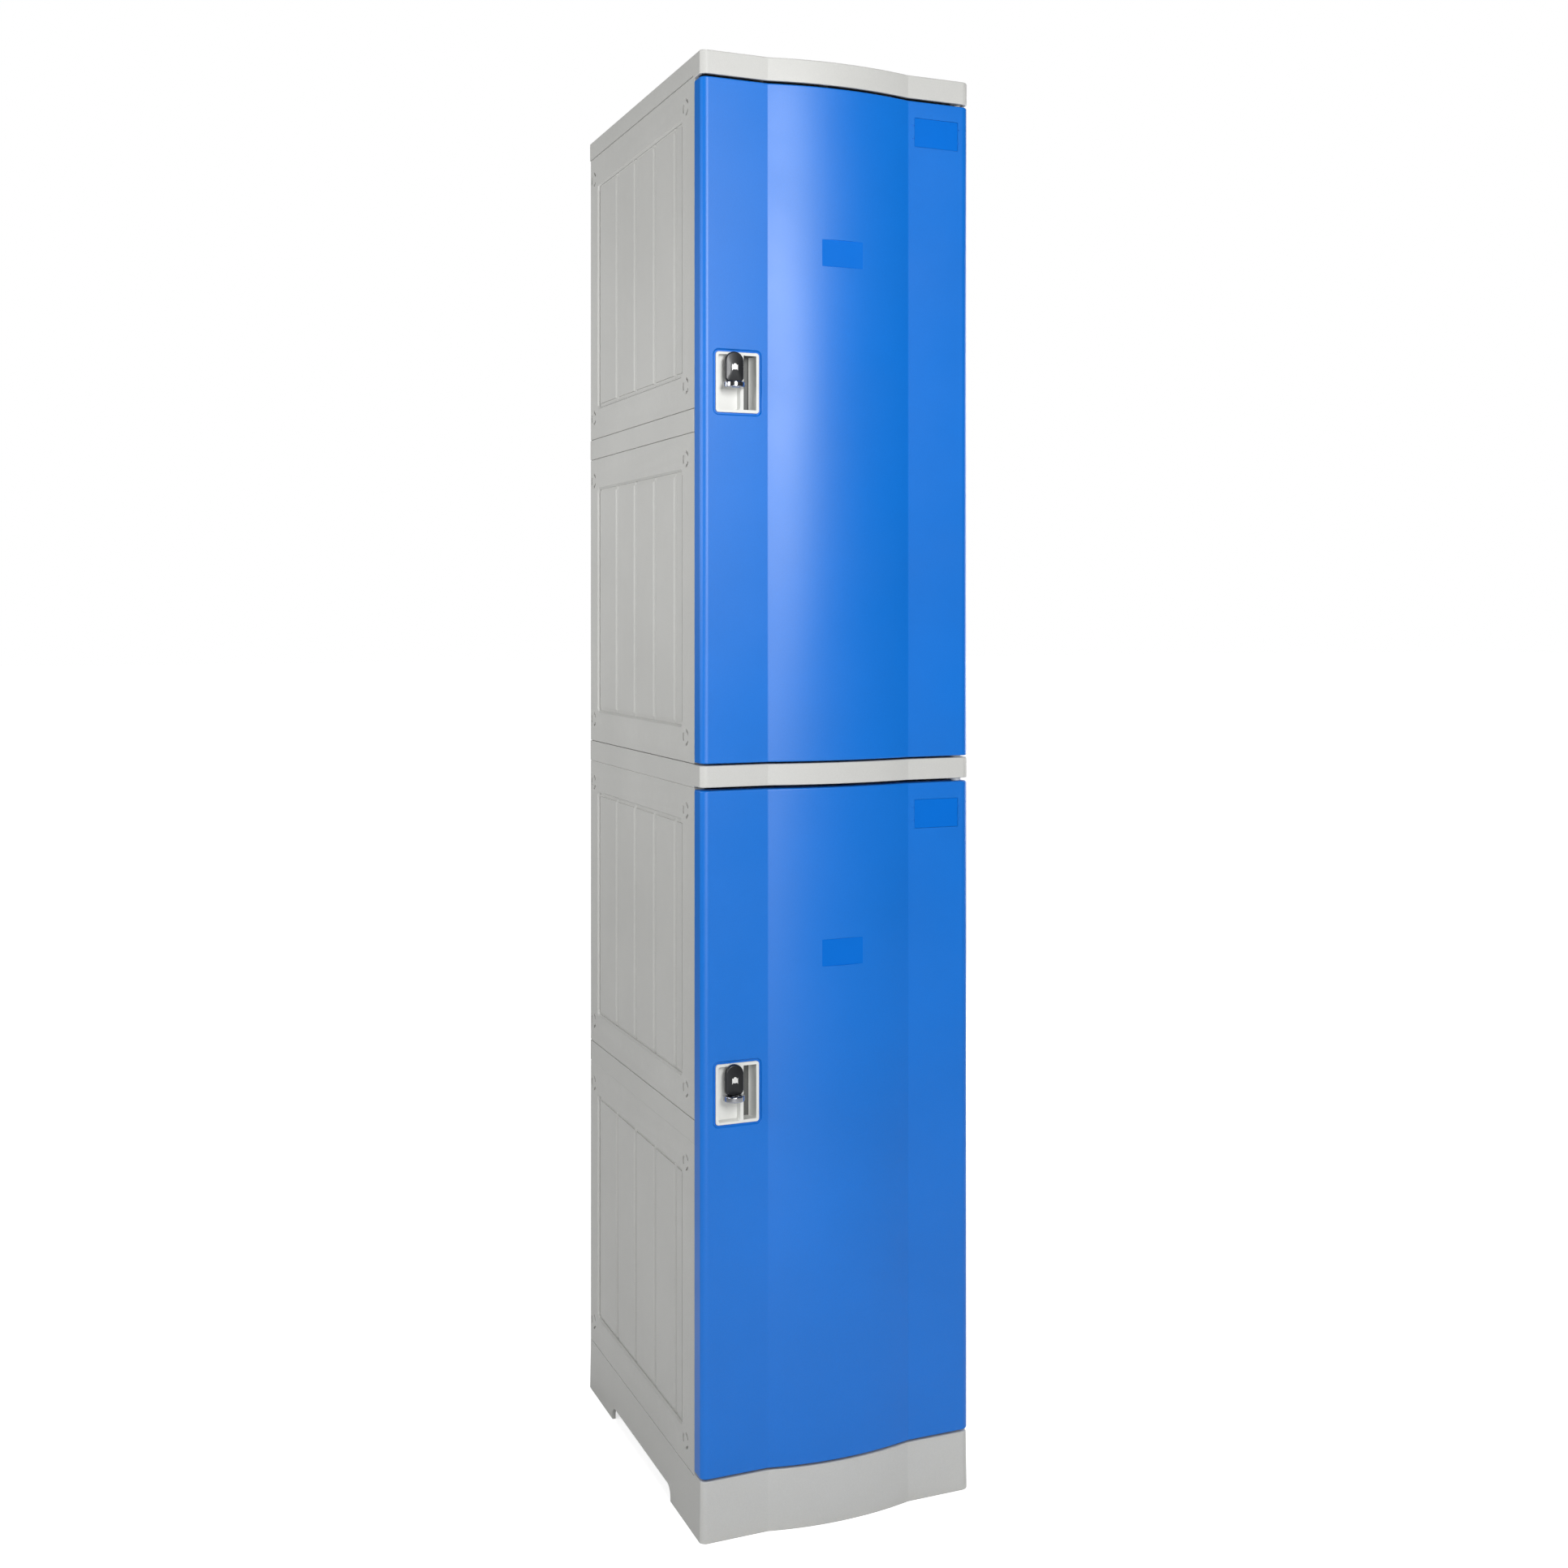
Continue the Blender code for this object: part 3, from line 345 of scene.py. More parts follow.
class Finish:
    """A material of nodes around one Principled shader, in the piece's own space."""

    def __init__(self, name, colour, roughness, metallic=0.0):
        self.material = bpy.data.materials.new(name)
        self.material.use_nodes = True
        self.nodes = self.material.node_tree.nodes
        self.links = self.material.node_tree.links
        self.shader = self.nodes["Principled BSDF"]
        self.colour, self.roughness = colour, roughness
        self.shader.inputs["Base Color"].default_value = (*colour, 1)
        self.shader.inputs["Roughness"].default_value = roughness
        self.shader.inputs["Metallic"].default_value = metallic
        self.place = self.nodes.new("ShaderNodeTexCoord").outputs["Object"]

    def noise(self, scale, detail=3.0, stretch=None):
        """A noise between 0 and 1. Stretch scales its space along each axis."""
        place = self.place
        if stretch:
            mapping = self.nodes.new("ShaderNodeMapping")
            mapping.inputs["Scale"].default_value = stretch
            self.links.new(place, mapping.inputs["Vector"])
            place = mapping.outputs["Vector"]
        node = self.nodes.new("ShaderNodeTexNoise")
        node.inputs["Scale"].default_value = scale
        node.inputs["Detail"].default_value = detail
        self.links.new(place, node.inputs["Vector"])
        return node.outputs["Fac"]

    def grain(self, scale):
        """The cells of a moulded grain, between 0 and 1."""
        node = self.nodes.new("ShaderNodeTexVoronoi")
        node.feature = "SMOOTH_F1"
        node.inputs["Scale"].default_value = scale
        self.links.new(self.place, node.inputs["Vector"])
        return node.outputs["Distance"]

    def ramp(self, value, stops):
        """The value, passed through (place, shade or colour) stops."""
        node = self.nodes.new("ShaderNodeValToRGB")
        for element, (place, _) in zip(node.color_ramp.elements, stops):
            element.position = place
        for place, _ in stops[2:]:
            node.color_ramp.elements.new(place)
        for element, (_, shade) in zip(node.color_ramp.elements, stops):
            element.color = (*shade, 1) if isinstance(shade, tuple) else (shade, shade, shade, 1)
        self.links.new(value, node.inputs["Fac"])
        return node.outputs["Color"]

    def mix(self, factor, a, b, mode="MIX"):
        """Two colours mixed. Inputs 6 and 7 and output 2 are the node's colour sockets."""
        node = self.nodes.new("ShaderNodeMix")
        node.data_type = "RGBA"
        node.blend_type = mode
        for socket, value in ((node.inputs[0], factor), (node.inputs[6], a), (node.inputs[7], b)):
            if isinstance(value, bpy.types.NodeSocket):
                self.links.new(value, socket)
            elif isinstance(value, tuple):
                socket.default_value = (*value, 1)
            else:
                socket.default_value = value
        return node.outputs[2]

    def math(self, operation, a, b):
        """Two numbers combined."""
        node = self.nodes.new("ShaderNodeMath")
        node.operation = operation
        for socket, value in zip(node.inputs, (a, b)):
            if isinstance(value, bpy.types.NodeSocket):
                self.links.new(value, socket)
            else:
                socket.default_value = value
        return node.outputs[0]

    def set(self, name, value):
        """Drives one of the shader's sockets."""
        self.links.new(value, self.shader.inputs[name])

    def vary_colour(self, amount, scale=5.0):
        """Slow cloudy variation of the colour, as pigment and handling give."""
        shade = tuple(c * (1 - amount) for c in self.colour)
        light = tuple(min(1.0, c * (1 + amount)) for c in self.colour)
        return self.ramp(self.noise(scale, 4.0), ((0.3, shade), (0.7, light)))

    def vary_roughness(self, spread, scale, stretch=None):
        """Roughness that wanders about its mean."""
        wander = self.noise(scale, 5.0, stretch)
        scaled = self.math("MULTIPLY", wander, 2 * spread)
        self.set("Roughness", self.math("ADD", scaled, self.roughness - spread))

    def bump(self, heights, distance, strength=1.0):
        """Raises the surface by a height between 0 and 1."""
        node = self.nodes.new("ShaderNodeBump")
        node.inputs["Strength"].default_value = strength
        node.inputs["Distance"].default_value = distance
        self.links.new(heights, node.inputs["Height"])
        self.set("Normal", node.outputs["Normal"])

    def worn_edges(self, colour, light, amount):
        """Lightens the colour where the surface is sharply convex."""
        geometry = self.nodes.new("ShaderNodeNewGeometry")
        edge = self.ramp(geometry.outputs["Pointiness"], ((0.52, 0.0), (0.60, 1.0)))
        patchy = self.ramp(self.noise(60.0, 4.0), ((0.4, 0.2), (0.7, 1.0)))
        worn = self.math("MULTIPLY", edge, patchy)
        return self.mix(self.math("MULTIPLY", worn, amount), colour, light)


def moulded_plastic(name, colour, roughness, worn, depth=0.00010, specular=0.5, cloud=0.03):
    """Moulded plastic: a fine spark-eroded grain, faint clouds and edges rubbed to the worn colour."""
    finish = Finish(name, colour, roughness)
    finish.shader.inputs["Specular IOR Level"].default_value = specular
    colour_out = finish.vary_colour(cloud)
    speck = finish.ramp(finish.noise(GRAIN * 0.7, 2.0), ((0.35, 0.96), (0.65, 1.0)))
    colour_out = finish.mix(1.0, colour_out, speck, "MULTIPLY")
    finish.set("Base Color", finish.worn_edges(colour_out, worn, WEAR))
    finish.vary_roughness(0.05, 9.0)
    cells = finish.grain(GRAIN)
    waves = finish.noise(GRAIN * 0.35, 3.0)
    finish.bump(finish.math("ADD", cells, waves), depth, 0.6)
    return finish.material


def smooth_plastic(name, colour, roughness, specular=0.5):
    """Polished moulded plastic with faint rubbing marks."""
    finish = Finish(name, colour, roughness)
    finish.shader.inputs["Specular IOR Level"].default_value = specular
    finish.set("Base Color", finish.vary_colour(0.025, 14.0))
    finish.vary_roughness(0.06, 40.0, (1.0, 1.0, 0.15))
    finish.bump(finish.noise(260.0, 2.0), 0.00003, 0.5)
    return finish.material


def polished_metal(name, colour, roughness, metallic=1.0, coat=0.0):
    """Plated metal or black gloss with hairline scratches."""
    finish = Finish(name, colour, roughness, metallic)
    finish.shader.inputs["Coat Weight"].default_value = coat
    finish.shader.inputs["Coat Roughness"].default_value = 0.06
    finish.set("Base Color", finish.vary_colour(0.05, 120.0))
    hair = finish.noise(900.0, 4.0, (1.0, 0.1, 0.25))
    finish.vary_roughness(0.05, 300.0, (1.0, 0.2, 0.2))
    finish.bump(hair, 0.00001, 0.35)
    return finish.material


def plated_steel(name, colour, roughness):
    """Zinc-plated steel: brushed lines and spangled patches."""
    finish = Finish(name, colour, roughness, 1.0)
    spangle = finish.ramp(finish.grain(240.0), ((0.2, 0.86), (0.8, 1.0)))
    finish.set("Base Color", finish.mix(1.0, finish.vary_colour(0.06, 60.0), spangle, "MULTIPLY"))
    finish.vary_roughness(0.10, 700.0, (1.0, 1.0, 0.06))
    finish.bump(finish.noise(1500.0, 3.0, (1.0, 1.0, 0.05)), 0.00002, 0.4)
    return finish.material


GREY = (0.545, 0.545, 0.525)
BLUE = (0.001, 0.152, 0.600)
MATERIALS = {
    "body_grey_abs": moulded_plastic("grey_abs", GREY, 0.46, (0.66, 0.66, 0.64), specular=0.4),
    "door_blue_abs": moulded_plastic("blue_abs", BLUE, 0.38, (0.02, 0.22, 0.72), depth=0.00005, cloud=0.04),
    "card_blue": smooth_plastic("card_blue", (0.0, 0.138, 0.590), 0.42, specular=0.12),
    "cup_grey": smooth_plastic("cup_grey", (0.70, 0.705, 0.68), 0.34),
    # Painted shade: a dark grey for the finger pocket's floor and ceiling, standing in for the shadow there.
    "cup_painted_shade": smooth_plastic("cup_painted_shade", (0.085, 0.087, 0.082), 0.5),
    "lock_black": polished_metal("black_gloss", (0.013, 0.014, 0.016), 0.34, 0.2, coat=0.12),
    "lock_chrome": polished_metal("chrome", (0.50, 0.51, 0.54), 0.14),
    "badge": polished_metal("badge", (0.86, 0.86, 0.84), 0.42, 0.6),
    "nylon": smooth_plastic("nylon", (0.78, 0.78, 0.73), 0.48),
    "steel": plated_steel("zinc_steel", (0.56, 0.57, 0.59), 0.30),
}


# ---- Pieces ----------------------------------------------
BODY_OF = {node: body for body, nodes in frame["record"]["behaviour"]["bodies"].items() for node in nodes}


def piece(node, mesh, finish, extra=()):
    """Shows the mesh in place of a CAD node. Extra is (finish, test of a face) for faces that differ."""
    obj = bpy.data.objects.new(f"{node}_fine", mesh)
    bpy.context.scene.collection.objects.link(obj)
    mesh.materials.clear()
    mesh.materials.append(MATERIALS[finish])
    for index, (other, test) in enumerate(extra, 1):
        mesh.materials.append(MATERIALS[other])
        for face in mesh.polygons:
            if test(face):
                face.material_index = index
    mesh.shade_smooth()
    mesh.set_sharp_from_angle(angle=math.radians(SHARP_ANGLE))
    even = obj.modifiers.new("Even shading", "WEIGHTED_NORMAL")
    even.keep_sharp = True
    even.weight = 60
    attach(obj, BODY_OF[node])
    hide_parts(node)
    return obj


def rod(radius, start, end, edge, x, y, axis="Z"):
    """A round bar with eased ends, on an axis through x and y."""
    return stack(circle(x, y, radius), rounded(start, end, edge, edge, steps=3), axis)


def hinge_bore(start, end):
    """The bore for a hinge pin."""
    return rod(PIN_BORE_R, start, end, 0.0, HINGE_X, HINGE_Y)


def pin_post(start, end):
    """The solid post that a hinge pin stands in."""
    return rod(PIN_POST_R, start, end, 0.0, HINGE_X, HINGE_Y)


def on_lock(side, radius, start, end, edge=0.0003):
    """A round bar along a lock's axis."""
    return rod(radius, start, end, edge, LOCK_X, LOCK_Z[side], "Y")


def make_plinth():
    """The hollow base, which widens a little towards the floor, with a notch in each side."""
    top, deck = high("base_plinth").z, low("left_side_panel_1").z
    form = stack(front_plan(HALF_W, BACK_Y), rounded(0, top, 0.0010, 0.0014, draft=PLINTH_DRAFT))
    hollow = stack(inner_plan(HALF_W, BACK_Y, WALL + PLINTH_DRAFT), [(0, -BEYOND), (0, deck - SKIN)])
    notch = rounded_rectangle(FLAT_Y + NOTCH_FRONT, -2 * NOTCH_H, FLAT_Y + NOTCH_REAR, NOTCH_H, NOTCH_R, 10)
    form = shaped(form, cuts=[box((-1, CABINET_Y, deck), (1, 1, 1)), hollow,
                              stack(notch, [(0, -1), (0, 1)], "X")])
    form = shaped(form, joins=[pin_post(deck - PIN_POST_DEPTH, deck - LAP)],
                  cuts=[hinge_bore(deck - PIN_BORE_DEPTH, top + BEYOND)], ease=0.0007)
    piece("base_plinth", form, "body_grey_abs")


def underside_pockets(start, end):
    """The hollows under a shelf, the divider or the cover, with ribs between them."""
    reach = HALF_W - POCKET_EDGE
    pitch = 2 * reach / POCKET_COUNT
    pockets = []
    for i in range(POCKET_COUNT):
        left = -reach + i * pitch + (POCKET_RIB / 2 if i else 0)
        right = -reach + (i + 1) * pitch - (POCKET_RIB / 2 if i < POCKET_COUNT - 1 else 0)
        plan = rounded_rectangle(left, CABINET_Y + WALL, right, BACK_Y - 2 * WALL, 0.003, 4)
        pockets.append(stack(plan, [(0, start), (0.0006, end)]))
    return pockets


def slab(start, end):
    """A shelf's or the divider's slab, whose rim is the band between two side panels."""
    half_w, rear = HALF_W - BAND_INSET, BACK_Y - BAND_INSET
    plan = rounded_rectangle(-half_w, CABINET_Y, half_w, rear, 0.003, 5)
    return stack(plan, rounded(start, end, BAND_EDGE, BAND_EDGE, steps=3))


def make_shelves():
    """The two plain shelves, each on a side panel's top."""
    for node, panel in (("lower_shelf", "left_side_panel_1"), ("upper_shelf", "left_side_panel_3")):
        start, end = high(panel).z + SEAM, high(node).z
        mesh = shaped(slab(start, end), cuts=underside_pockets(start - BEYOND, end - SKIN), ease=0.0006)
        piece(node, mesh, "body_grey_abs")


def make_divider():
    """The floor between the doors' spaces, with its lip."""
    start, end = high("left_side_panel_2").z + SEAM, low("left_side_panel_3").z - 2 * SEAM
    form = slab(start, end)
    lip_low = high("lower_hinge_bush_top").z + SEAM
    lip_high = low("upper_hinge_bush_bottom").z - SEAM
    lip = stack(front_plan(HALF_W, CABINET_Y + LIP_REACH), rounded(lip_low, lip_high, 0.0014, 0.0014))
    hollow = stack(inner_plan(HALF_W, CABINET_Y + LIP_HOLLOW_REACH, WALL),
                   [(0, lip_low + SKIN), (0, lip_high - SKIN)])
    form = shaped(form, joins=[lip], cuts=[hollow] + underside_pockets(start - BEYOND, end - SKIN))
    form = shaped(form, joins=[pin_post(lip_low + LAP, lip_high - LAP)],
                  cuts=[hinge_bore(lip_low - BEYOND, lip_high + BEYOND)], ease=0.0006)
    piece("compartment_divider", form, "body_grey_abs")


def make_cover():
    """The cap over everything, with its lip over the upper door."""
    start = low("top_cover").z
    under = high("left_side_panel_4").z + SEAM
    form = stack(front_plan(HALF_W, BACK_Y), rounded(start + GAP_EASE, TOP_Z, 0.0012, 0.0022))
    field = rounded_rectangle(-HALF_W + COVER_MARGIN, FLAT_Y + COVER_FRONT_MARGIN, HALF_W - COVER_MARGIN,
                              BACK_Y - COVER_MARGIN, 0.008)
    sink = stack(field, [(COVER_SINK, TOP_Z - COVER_SINK), (-SINK_RISE, TOP_Z + SINK_RISE)])
    hollow = stack(inner_plan(HALF_W, CABINET_Y + LIP_HOLLOW_REACH, WALL),
                   [(0, start - BEYOND), (0, TOP_Z - SKIN)])
    cuts = [box((-1, CABINET_Y, 0), (1, 1, under)), sink, hollow]
    form = shaped(form, cuts=cuts + underside_pockets(start - BEYOND, TOP_Z - SKIN))
    form = shaped(form, joins=[pin_post(start + 2 * LAP, TOP_Z - 2 * LAP)],
                  cuts=[hinge_bore(start - BEYOND, TOP_Z - 0.008)], ease=0.0006)
    piece("top_cover", form, "body_grey_abs")


def groove_cutter(place, start, end):
    """A soft V-groove along Z, cut from the field's level. Its sides are a wave."""
    steps, edge_lift, above = 10, 0.00003, FIELD_SINK - 0.0020
    wave = []
    for i in range(steps + 1):
        y = -GROOVE_HALF_W + 2 * GROOVE_HALF_W * i / steps
        sink = GROOVE_SINK * (1 + math.cos(math.pi * y / GROOVE_HALF_W)) / 2
        wave.append((FIELD_SINK + sink - edge_lift, place + y))
    outline = wave + [(above, place + GROOVE_HALF_W), (above, place - GROOVE_HALF_W)]
    return stack(outline, [(0, start), (0, end)])


def knock_out(y, z):
    """A round knock-out: arcs of a shallow groove, with bridges between them."""
    cutters = []
    for start, end in MARK_ARCS:
        outer = arc(y, z, MARK_R + MARK_W / 2, start, end, 8)
        inner = arc(y, z, MARK_R - MARK_W / 2, end, start, 8)
        cutters.append(stack(outer + inner, [(0, -BEYOND), (0.0003, MARK_SINK)], "X"))
    return cutters


def tray(length, field, grooves, rib_widths, marks):
    """A panel as a shallow tray. Its outside faces -X at x = 0, and it runs along +Y from y = 0.

    Field is where the sunken field starts and ends, and marks are the middles of the knock-outs.
    """
    plate = rounded_rectangle(0, 0, length, PANEL_H, 0.002, 4)
    plate = stack(plate, rounded(0, PANEL_T, 0.0010, 0.0005), "X")
    # The field's corners are rounder than its border is wide, so that shrinking can't turn them over.
    foot, head = FIELD_MARGIN, PANEL_H - FIELD_MARGIN
    outline = rounded_rectangle(field[0], foot, field[1], head, BORDER_W + LAP, 5)
    sink = stack(outline, [(-FIELD_SINK - SINK_RISE, -SINK_RISE), (0, FIELD_SINK)], "X")
    deep = FIELD_SINK + BORDER_SINK
    border = stack(outline, [(0.0003, FIELD_SINK - LAP), (0.0006, deep), (BORDER_W - 0.0003, deep),
                             (BORDER_W, FIELD_SINK - LAP)], "X", endless=True)
    channels = [groove_cutter(place, foot + 0.0004, head - 0.0004) for place in grooves]
    edges = [TRAY_RIM]
    for groove, rib in zip(grooves, rib_widths):
        edges += [groove - rib / 2, groove + rib / 2]
    edges.append(length - TRAY_RIM)
    pockets = []
    for left, right in zip(edges[::2], edges[1::2]):
        outline = rounded_rectangle(left, TRAY_RIM, right, PANEL_H - TRAY_RIM, 0.004, 4)
        pockets.append(stack(outline, [(0.0008, PANEL_SKIN), (0, PANEL_T + BEYOND)], "X"))
    rings = [cutter for y, z in marks for cutter in knock_out(y, z)]
    return shaped(plate, cuts=[sink, border] + channels + pockets + rings, ease=0.0003)


def make_side_panels():
    """Four panels a side, which mirror each other."""
    length = high("left_side_panel_1").y - CABINET_Y
    behind = FLAT_Y - CABINET_Y
    marks = [(place + behind, z) for place in (MARK_FRONT, MARK_REAR)
             for z in (MARK_MARGIN, PANEL_H - MARK_MARGIN)]
    left = tray(length, (FIELD_FRONT + behind, FIELD_REAR + behind), [g + behind for g in SIDE_GROOVES],
                [RIB_W] * 4, marks)
    for side, mesh in (("left", left), ("right", mirrored(left))):
        for number in range(1, 5):
            node = f"{side}_side_panel_{number}"
            x = low(node).x if side == "left" else high(node).x
            piece(node, moved(mesh, x, CABINET_Y, low(node).z), "body_grey_abs")


def make_back_panels():
    """Four back panels, with the same field and grooves."""
    a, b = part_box("back_panel_1")
    length = b.x - a.x
    form = tray(length, (FIELD_MARGIN, length - FIELD_MARGIN), [length / 2 + g for g in BACK_GROOVES],
                (RIB_W, HOOK_RIB_W, RIB_W), [])
    form.transform(Matrix.Rotation(math.radians(-90), 4, "Z"))
    for number in range(1, 5):
        node = f"back_panel_{number}"
        piece(node, moved(form, a.x, high(node).y, low(node).z), "body_grey_abs")


def make_hinge_pins():
    """The steel pins on the hinge line."""
    for name in ("bottom", "middle", "top"):
        a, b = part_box(f"hinge_pin_{name}")
        piece(f"hinge_pin_{name}", rod(PIN_R, a.z, b.z, 0.0006, HINGE_X, HINGE_Y), "steel")


def make_strikes():
    """The plates that the cams turn behind."""
    for side in SIDES:
        node = f"{side}_latch_strike"
        levels = rounded(low(node).y, high(node).y, 0.0004, 0.0004, steps=3)
        piece(node, stack(node_outline(node, 0, 0.004, 6), levels, "Y"), "steel")


def wire(points, radius):
    """A round wire along a line of points in the plane x = 0, with domed ends."""
    curve = bpy.data.curves.new("wire", "CURVE")
    curve.dimensions = "3D"
    curve.bevel_depth = radius
    curve.bevel_resolution = 6
    curve.use_fill_caps = True
    spline = curve.splines.new("POLY")
    spline.points.add(len(points) - 1)
    for point, (y, z) in zip(spline.points, points):
        point.co = (0, y, z, 1)
    guide = bpy.data.objects.new("wire", curve)
    bpy.context.scene.collection.objects.link(guide)
    bpy.context.view_layer.update()
    mesh = bpy.data.meshes.new_from_object(guide.evaluated_get(bpy.context.evaluated_depsgraph_get()))
    bpy.data.objects.remove(guide, do_unlink=True)
    bm = bmesh.new()
    bm.from_mesh(mesh)
    bmesh.ops.remove_doubles(bm, verts=bm.verts, dist=1e-6)
    return closed(bm)


def make_hooks():
    """The coat hooks: a plate with two rivets, and a wire that turns down and curls up."""
    for side in SIDES:
        node = f"{side}_coat_hook"
        middle, back = (low(node).z + high(node).z) / 2, high(node).y
        face = back - HOOK_WIRE_R
        plate = stack(node_outline(node, 0, 0.006), rounded(face, back, 0.0008, 0.0002, steps=3), "Y")
        turn_z, curl_y = middle - HOOK_BEND_R, face - HOOK_BEND_R - HOOK_CURL_R
        turn = [(face - out, turn_z + up) for out, up in arc(0, 0, HOOK_BEND_R, 90, 0, 8)]
        curl = [(curl_y - out, turn_z + up) for out, up in arc(0, 0, HOOK_CURL_R, 180, 360, 20)]
        tip = (curl[-1][0], middle + HOOK_BEND_R - 0.0006)
        route = [(back - LAP, middle)] + turn + curl[1:] + [tip]
        levels = [(0, back - LAP), (0, face - 0.0004), (0.0008, face - 0.0010), (0.0022, face - 0.0014)]
        rivets = [stack(circle(0, middle + offset, RIVET_R, 24), levels, "Y")
                  for offset in (-RIVET_OFF, RIVET_OFF)]
        piece(node, shaped(plate, joins=[wire(route, HOOK_WIRE_R)] + rivets), "steel")


# ---- Doors -----------------------------------------------
def trough(side):
    """The trough in the door around the lock cup, with a soft slope down and a narrow flat bottom."""
    levels = [(-CUP_RIM_GROW - 0.0020, FLAT_Y - 0.0015)]
    for t in (i / 8 for i in range(1, 9)):
        levels.append((-CUP_RIM_GROW + CUP_RIM_GROW * 0.55 * t,
                       FLAT_Y + CUP_RIM_SINK * (1 - math.cos(math.pi * t)) / 2))
    levels.append((-0.0004, FLAT_Y + CUP_RIM_SINK))
    return stack(node_outline(f"{side}_lock_cup", 0, CUP_FLANGE_R), levels, "Y")


def clip_notches(side):
    """Two small notches in each upright side of the card's recess, and a dot beyond each."""
    a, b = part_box(f"{side}_name_card_insert")
    cutters = []
    for x, out in ((a.x, -1), (b.x, 1)):
        for share in CLIP_PLACES:
            z = a.z + (b.z - a.z) * share
            inner, outer = sorted((x - out * 0.0010, x + out * CLIP_W))
            outline = rounded_rectangle(inner, z - CLIP_H / 2, outer, z + CLIP_H / 2, 0.0004, 3)
            cutters.append(stack(outline, [(0, FLAT_Y - BEYOND), (0.0001, FLAT_Y + CARD_SINK)], "Y"))
            dot = circle(x + out * CLIP_DOT_OUT, z, CLIP_DOT_R, 12)
            cutters.append(stack(dot, [(-0.0003, FLAT_Y - LAP), (0.0003, FLAT_Y + 0.0007)], "Y"))
    return cutters


def make_door_shell(side):
    """A door's coloured outer half, with rounded edges and its recesses."""
    node = f"{side}_door_shell"
    a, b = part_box(node)
    plan = front_plan(DOOR_HALF_W, DOOR_BACK_Y, back_r=CORNER_R, back_left_r=DOOR_EDGE_R + LAP)
    form = stack(plan, rounded(a.z, b.z - GAP_EASE, DOOR_EDGE_R, DOOR_EDGE_R, steps=6))
    hollow = stack(inner_plan(DOOR_HALF_W, DOOR_BACK_Y, SKIN), [(0, a.z + SKIN), (0, b.z - SKIN)])
    opening = stack(node_outline(f"{side}_door_liner", SEAM, 0.003, 4),
                    [(0, DOOR_BACK_Y - 0.006), (0, DOOR_BACK_Y + BEYOND)], "Y")
    cup_hole = stack(node_outline(f"{side}_lock_cup", -CUP_FLANGE_W + SEAM, CUP_BODY_R),
                     [(0, FLAT_Y - BEYOND), (0, FLAT_Y + 2 * SKIN)], "Y")
    window = stack(node_outline(f"{side}_name_card_insert", SEAM, 0.0008, 4),
                   [(-0.0002, FLAT_Y - BEYOND), (0, FLAT_Y + CARD_SINK)], "Y")
    middle, number_floor = b.z - NUMBER_BELOW_TOP, BULGE_Y + NUMBER_SINK
    foot, head = middle - NUMBER_H / 2, middle + NUMBER_H / 2
    number = stack(rounded_rectangle(-NUMBER_W / 2, foot, NUMBER_W / 2, head, 0.0012, 4),
                   [(-0.0006, BULGE_Y - BEYOND), (-0.0002, BULGE_Y), (0.0002, number_floor)], "Y")
    seats = [rod(BUSH_SEAT_R, edge - 2 * SKIN, edge + 2 * SKIN, 0.0, HINGE_X, HINGE_Y)
             for edge in (a.z, b.z)]
    cuts = [hollow, opening, trough(side), cup_hole, window, number] + clip_notches(side) + seats

    def in_plate(face):
        """Whether a face is the floor of the number plate's recess."""
        x, y, z = face.center
        return abs(y - number_floor) < 0.0002 and abs(x) < NUMBER_W / 2 and foot < z < head

    piece(node, shaped(form, cuts=cuts, ease=0.0004), "door_blue_abs", [("card_blue", in_plate)])


def make_door_liner(side):
    """The plate that closes a door's back, with a sunken field and two stiffening beads."""
    node = f"{side}_door_liner"
    a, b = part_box(node)
    plate = stack(node_outline(node, 0, 0.003, 5), rounded(a.y, b.y, 0.0003, 0.0009), "Y")
    left, right = a.x + LINER_LATCH_MARGIN, b.x - LINER_MARGIN
    field = rounded_rectangle(left, a.z + LINER_MARGIN, right, b.z - LINER_MARGIN, 0.012, 8)
    sink = stack(field, [(LINER_SINK, b.y - LINER_SINK), (-0.0030, b.y + 0.0030)], "Y")
    levels = [(0, b.y - 0.0016), (0.0002, b.y - 0.0008), (0.0014, b.y - 0.0003), (0.0030, b.y - 0.0001)]
    foot, head = a.z + BEAD_MARGIN, b.z - BEAD_MARGIN
    beads = []
    for x in (left + (right - left) * share for share in BEAD_PLACES):
        outline = rounded_rectangle(x - BEAD_W / 2, foot, x + BEAD_W / 2, head, 0.0069, 8)
        beads.append(stack(outline, levels, "Y"))
    hole = on_lock(side, LOCK_HOLE_R, b.y - BEYOND, b.y + BEYOND, 0.0)
    form = shaped(shaped(plate, cuts=[sink]), joins=beads, cuts=[hole], ease=0.0004)
    piece(node, form, "body_grey_abs")


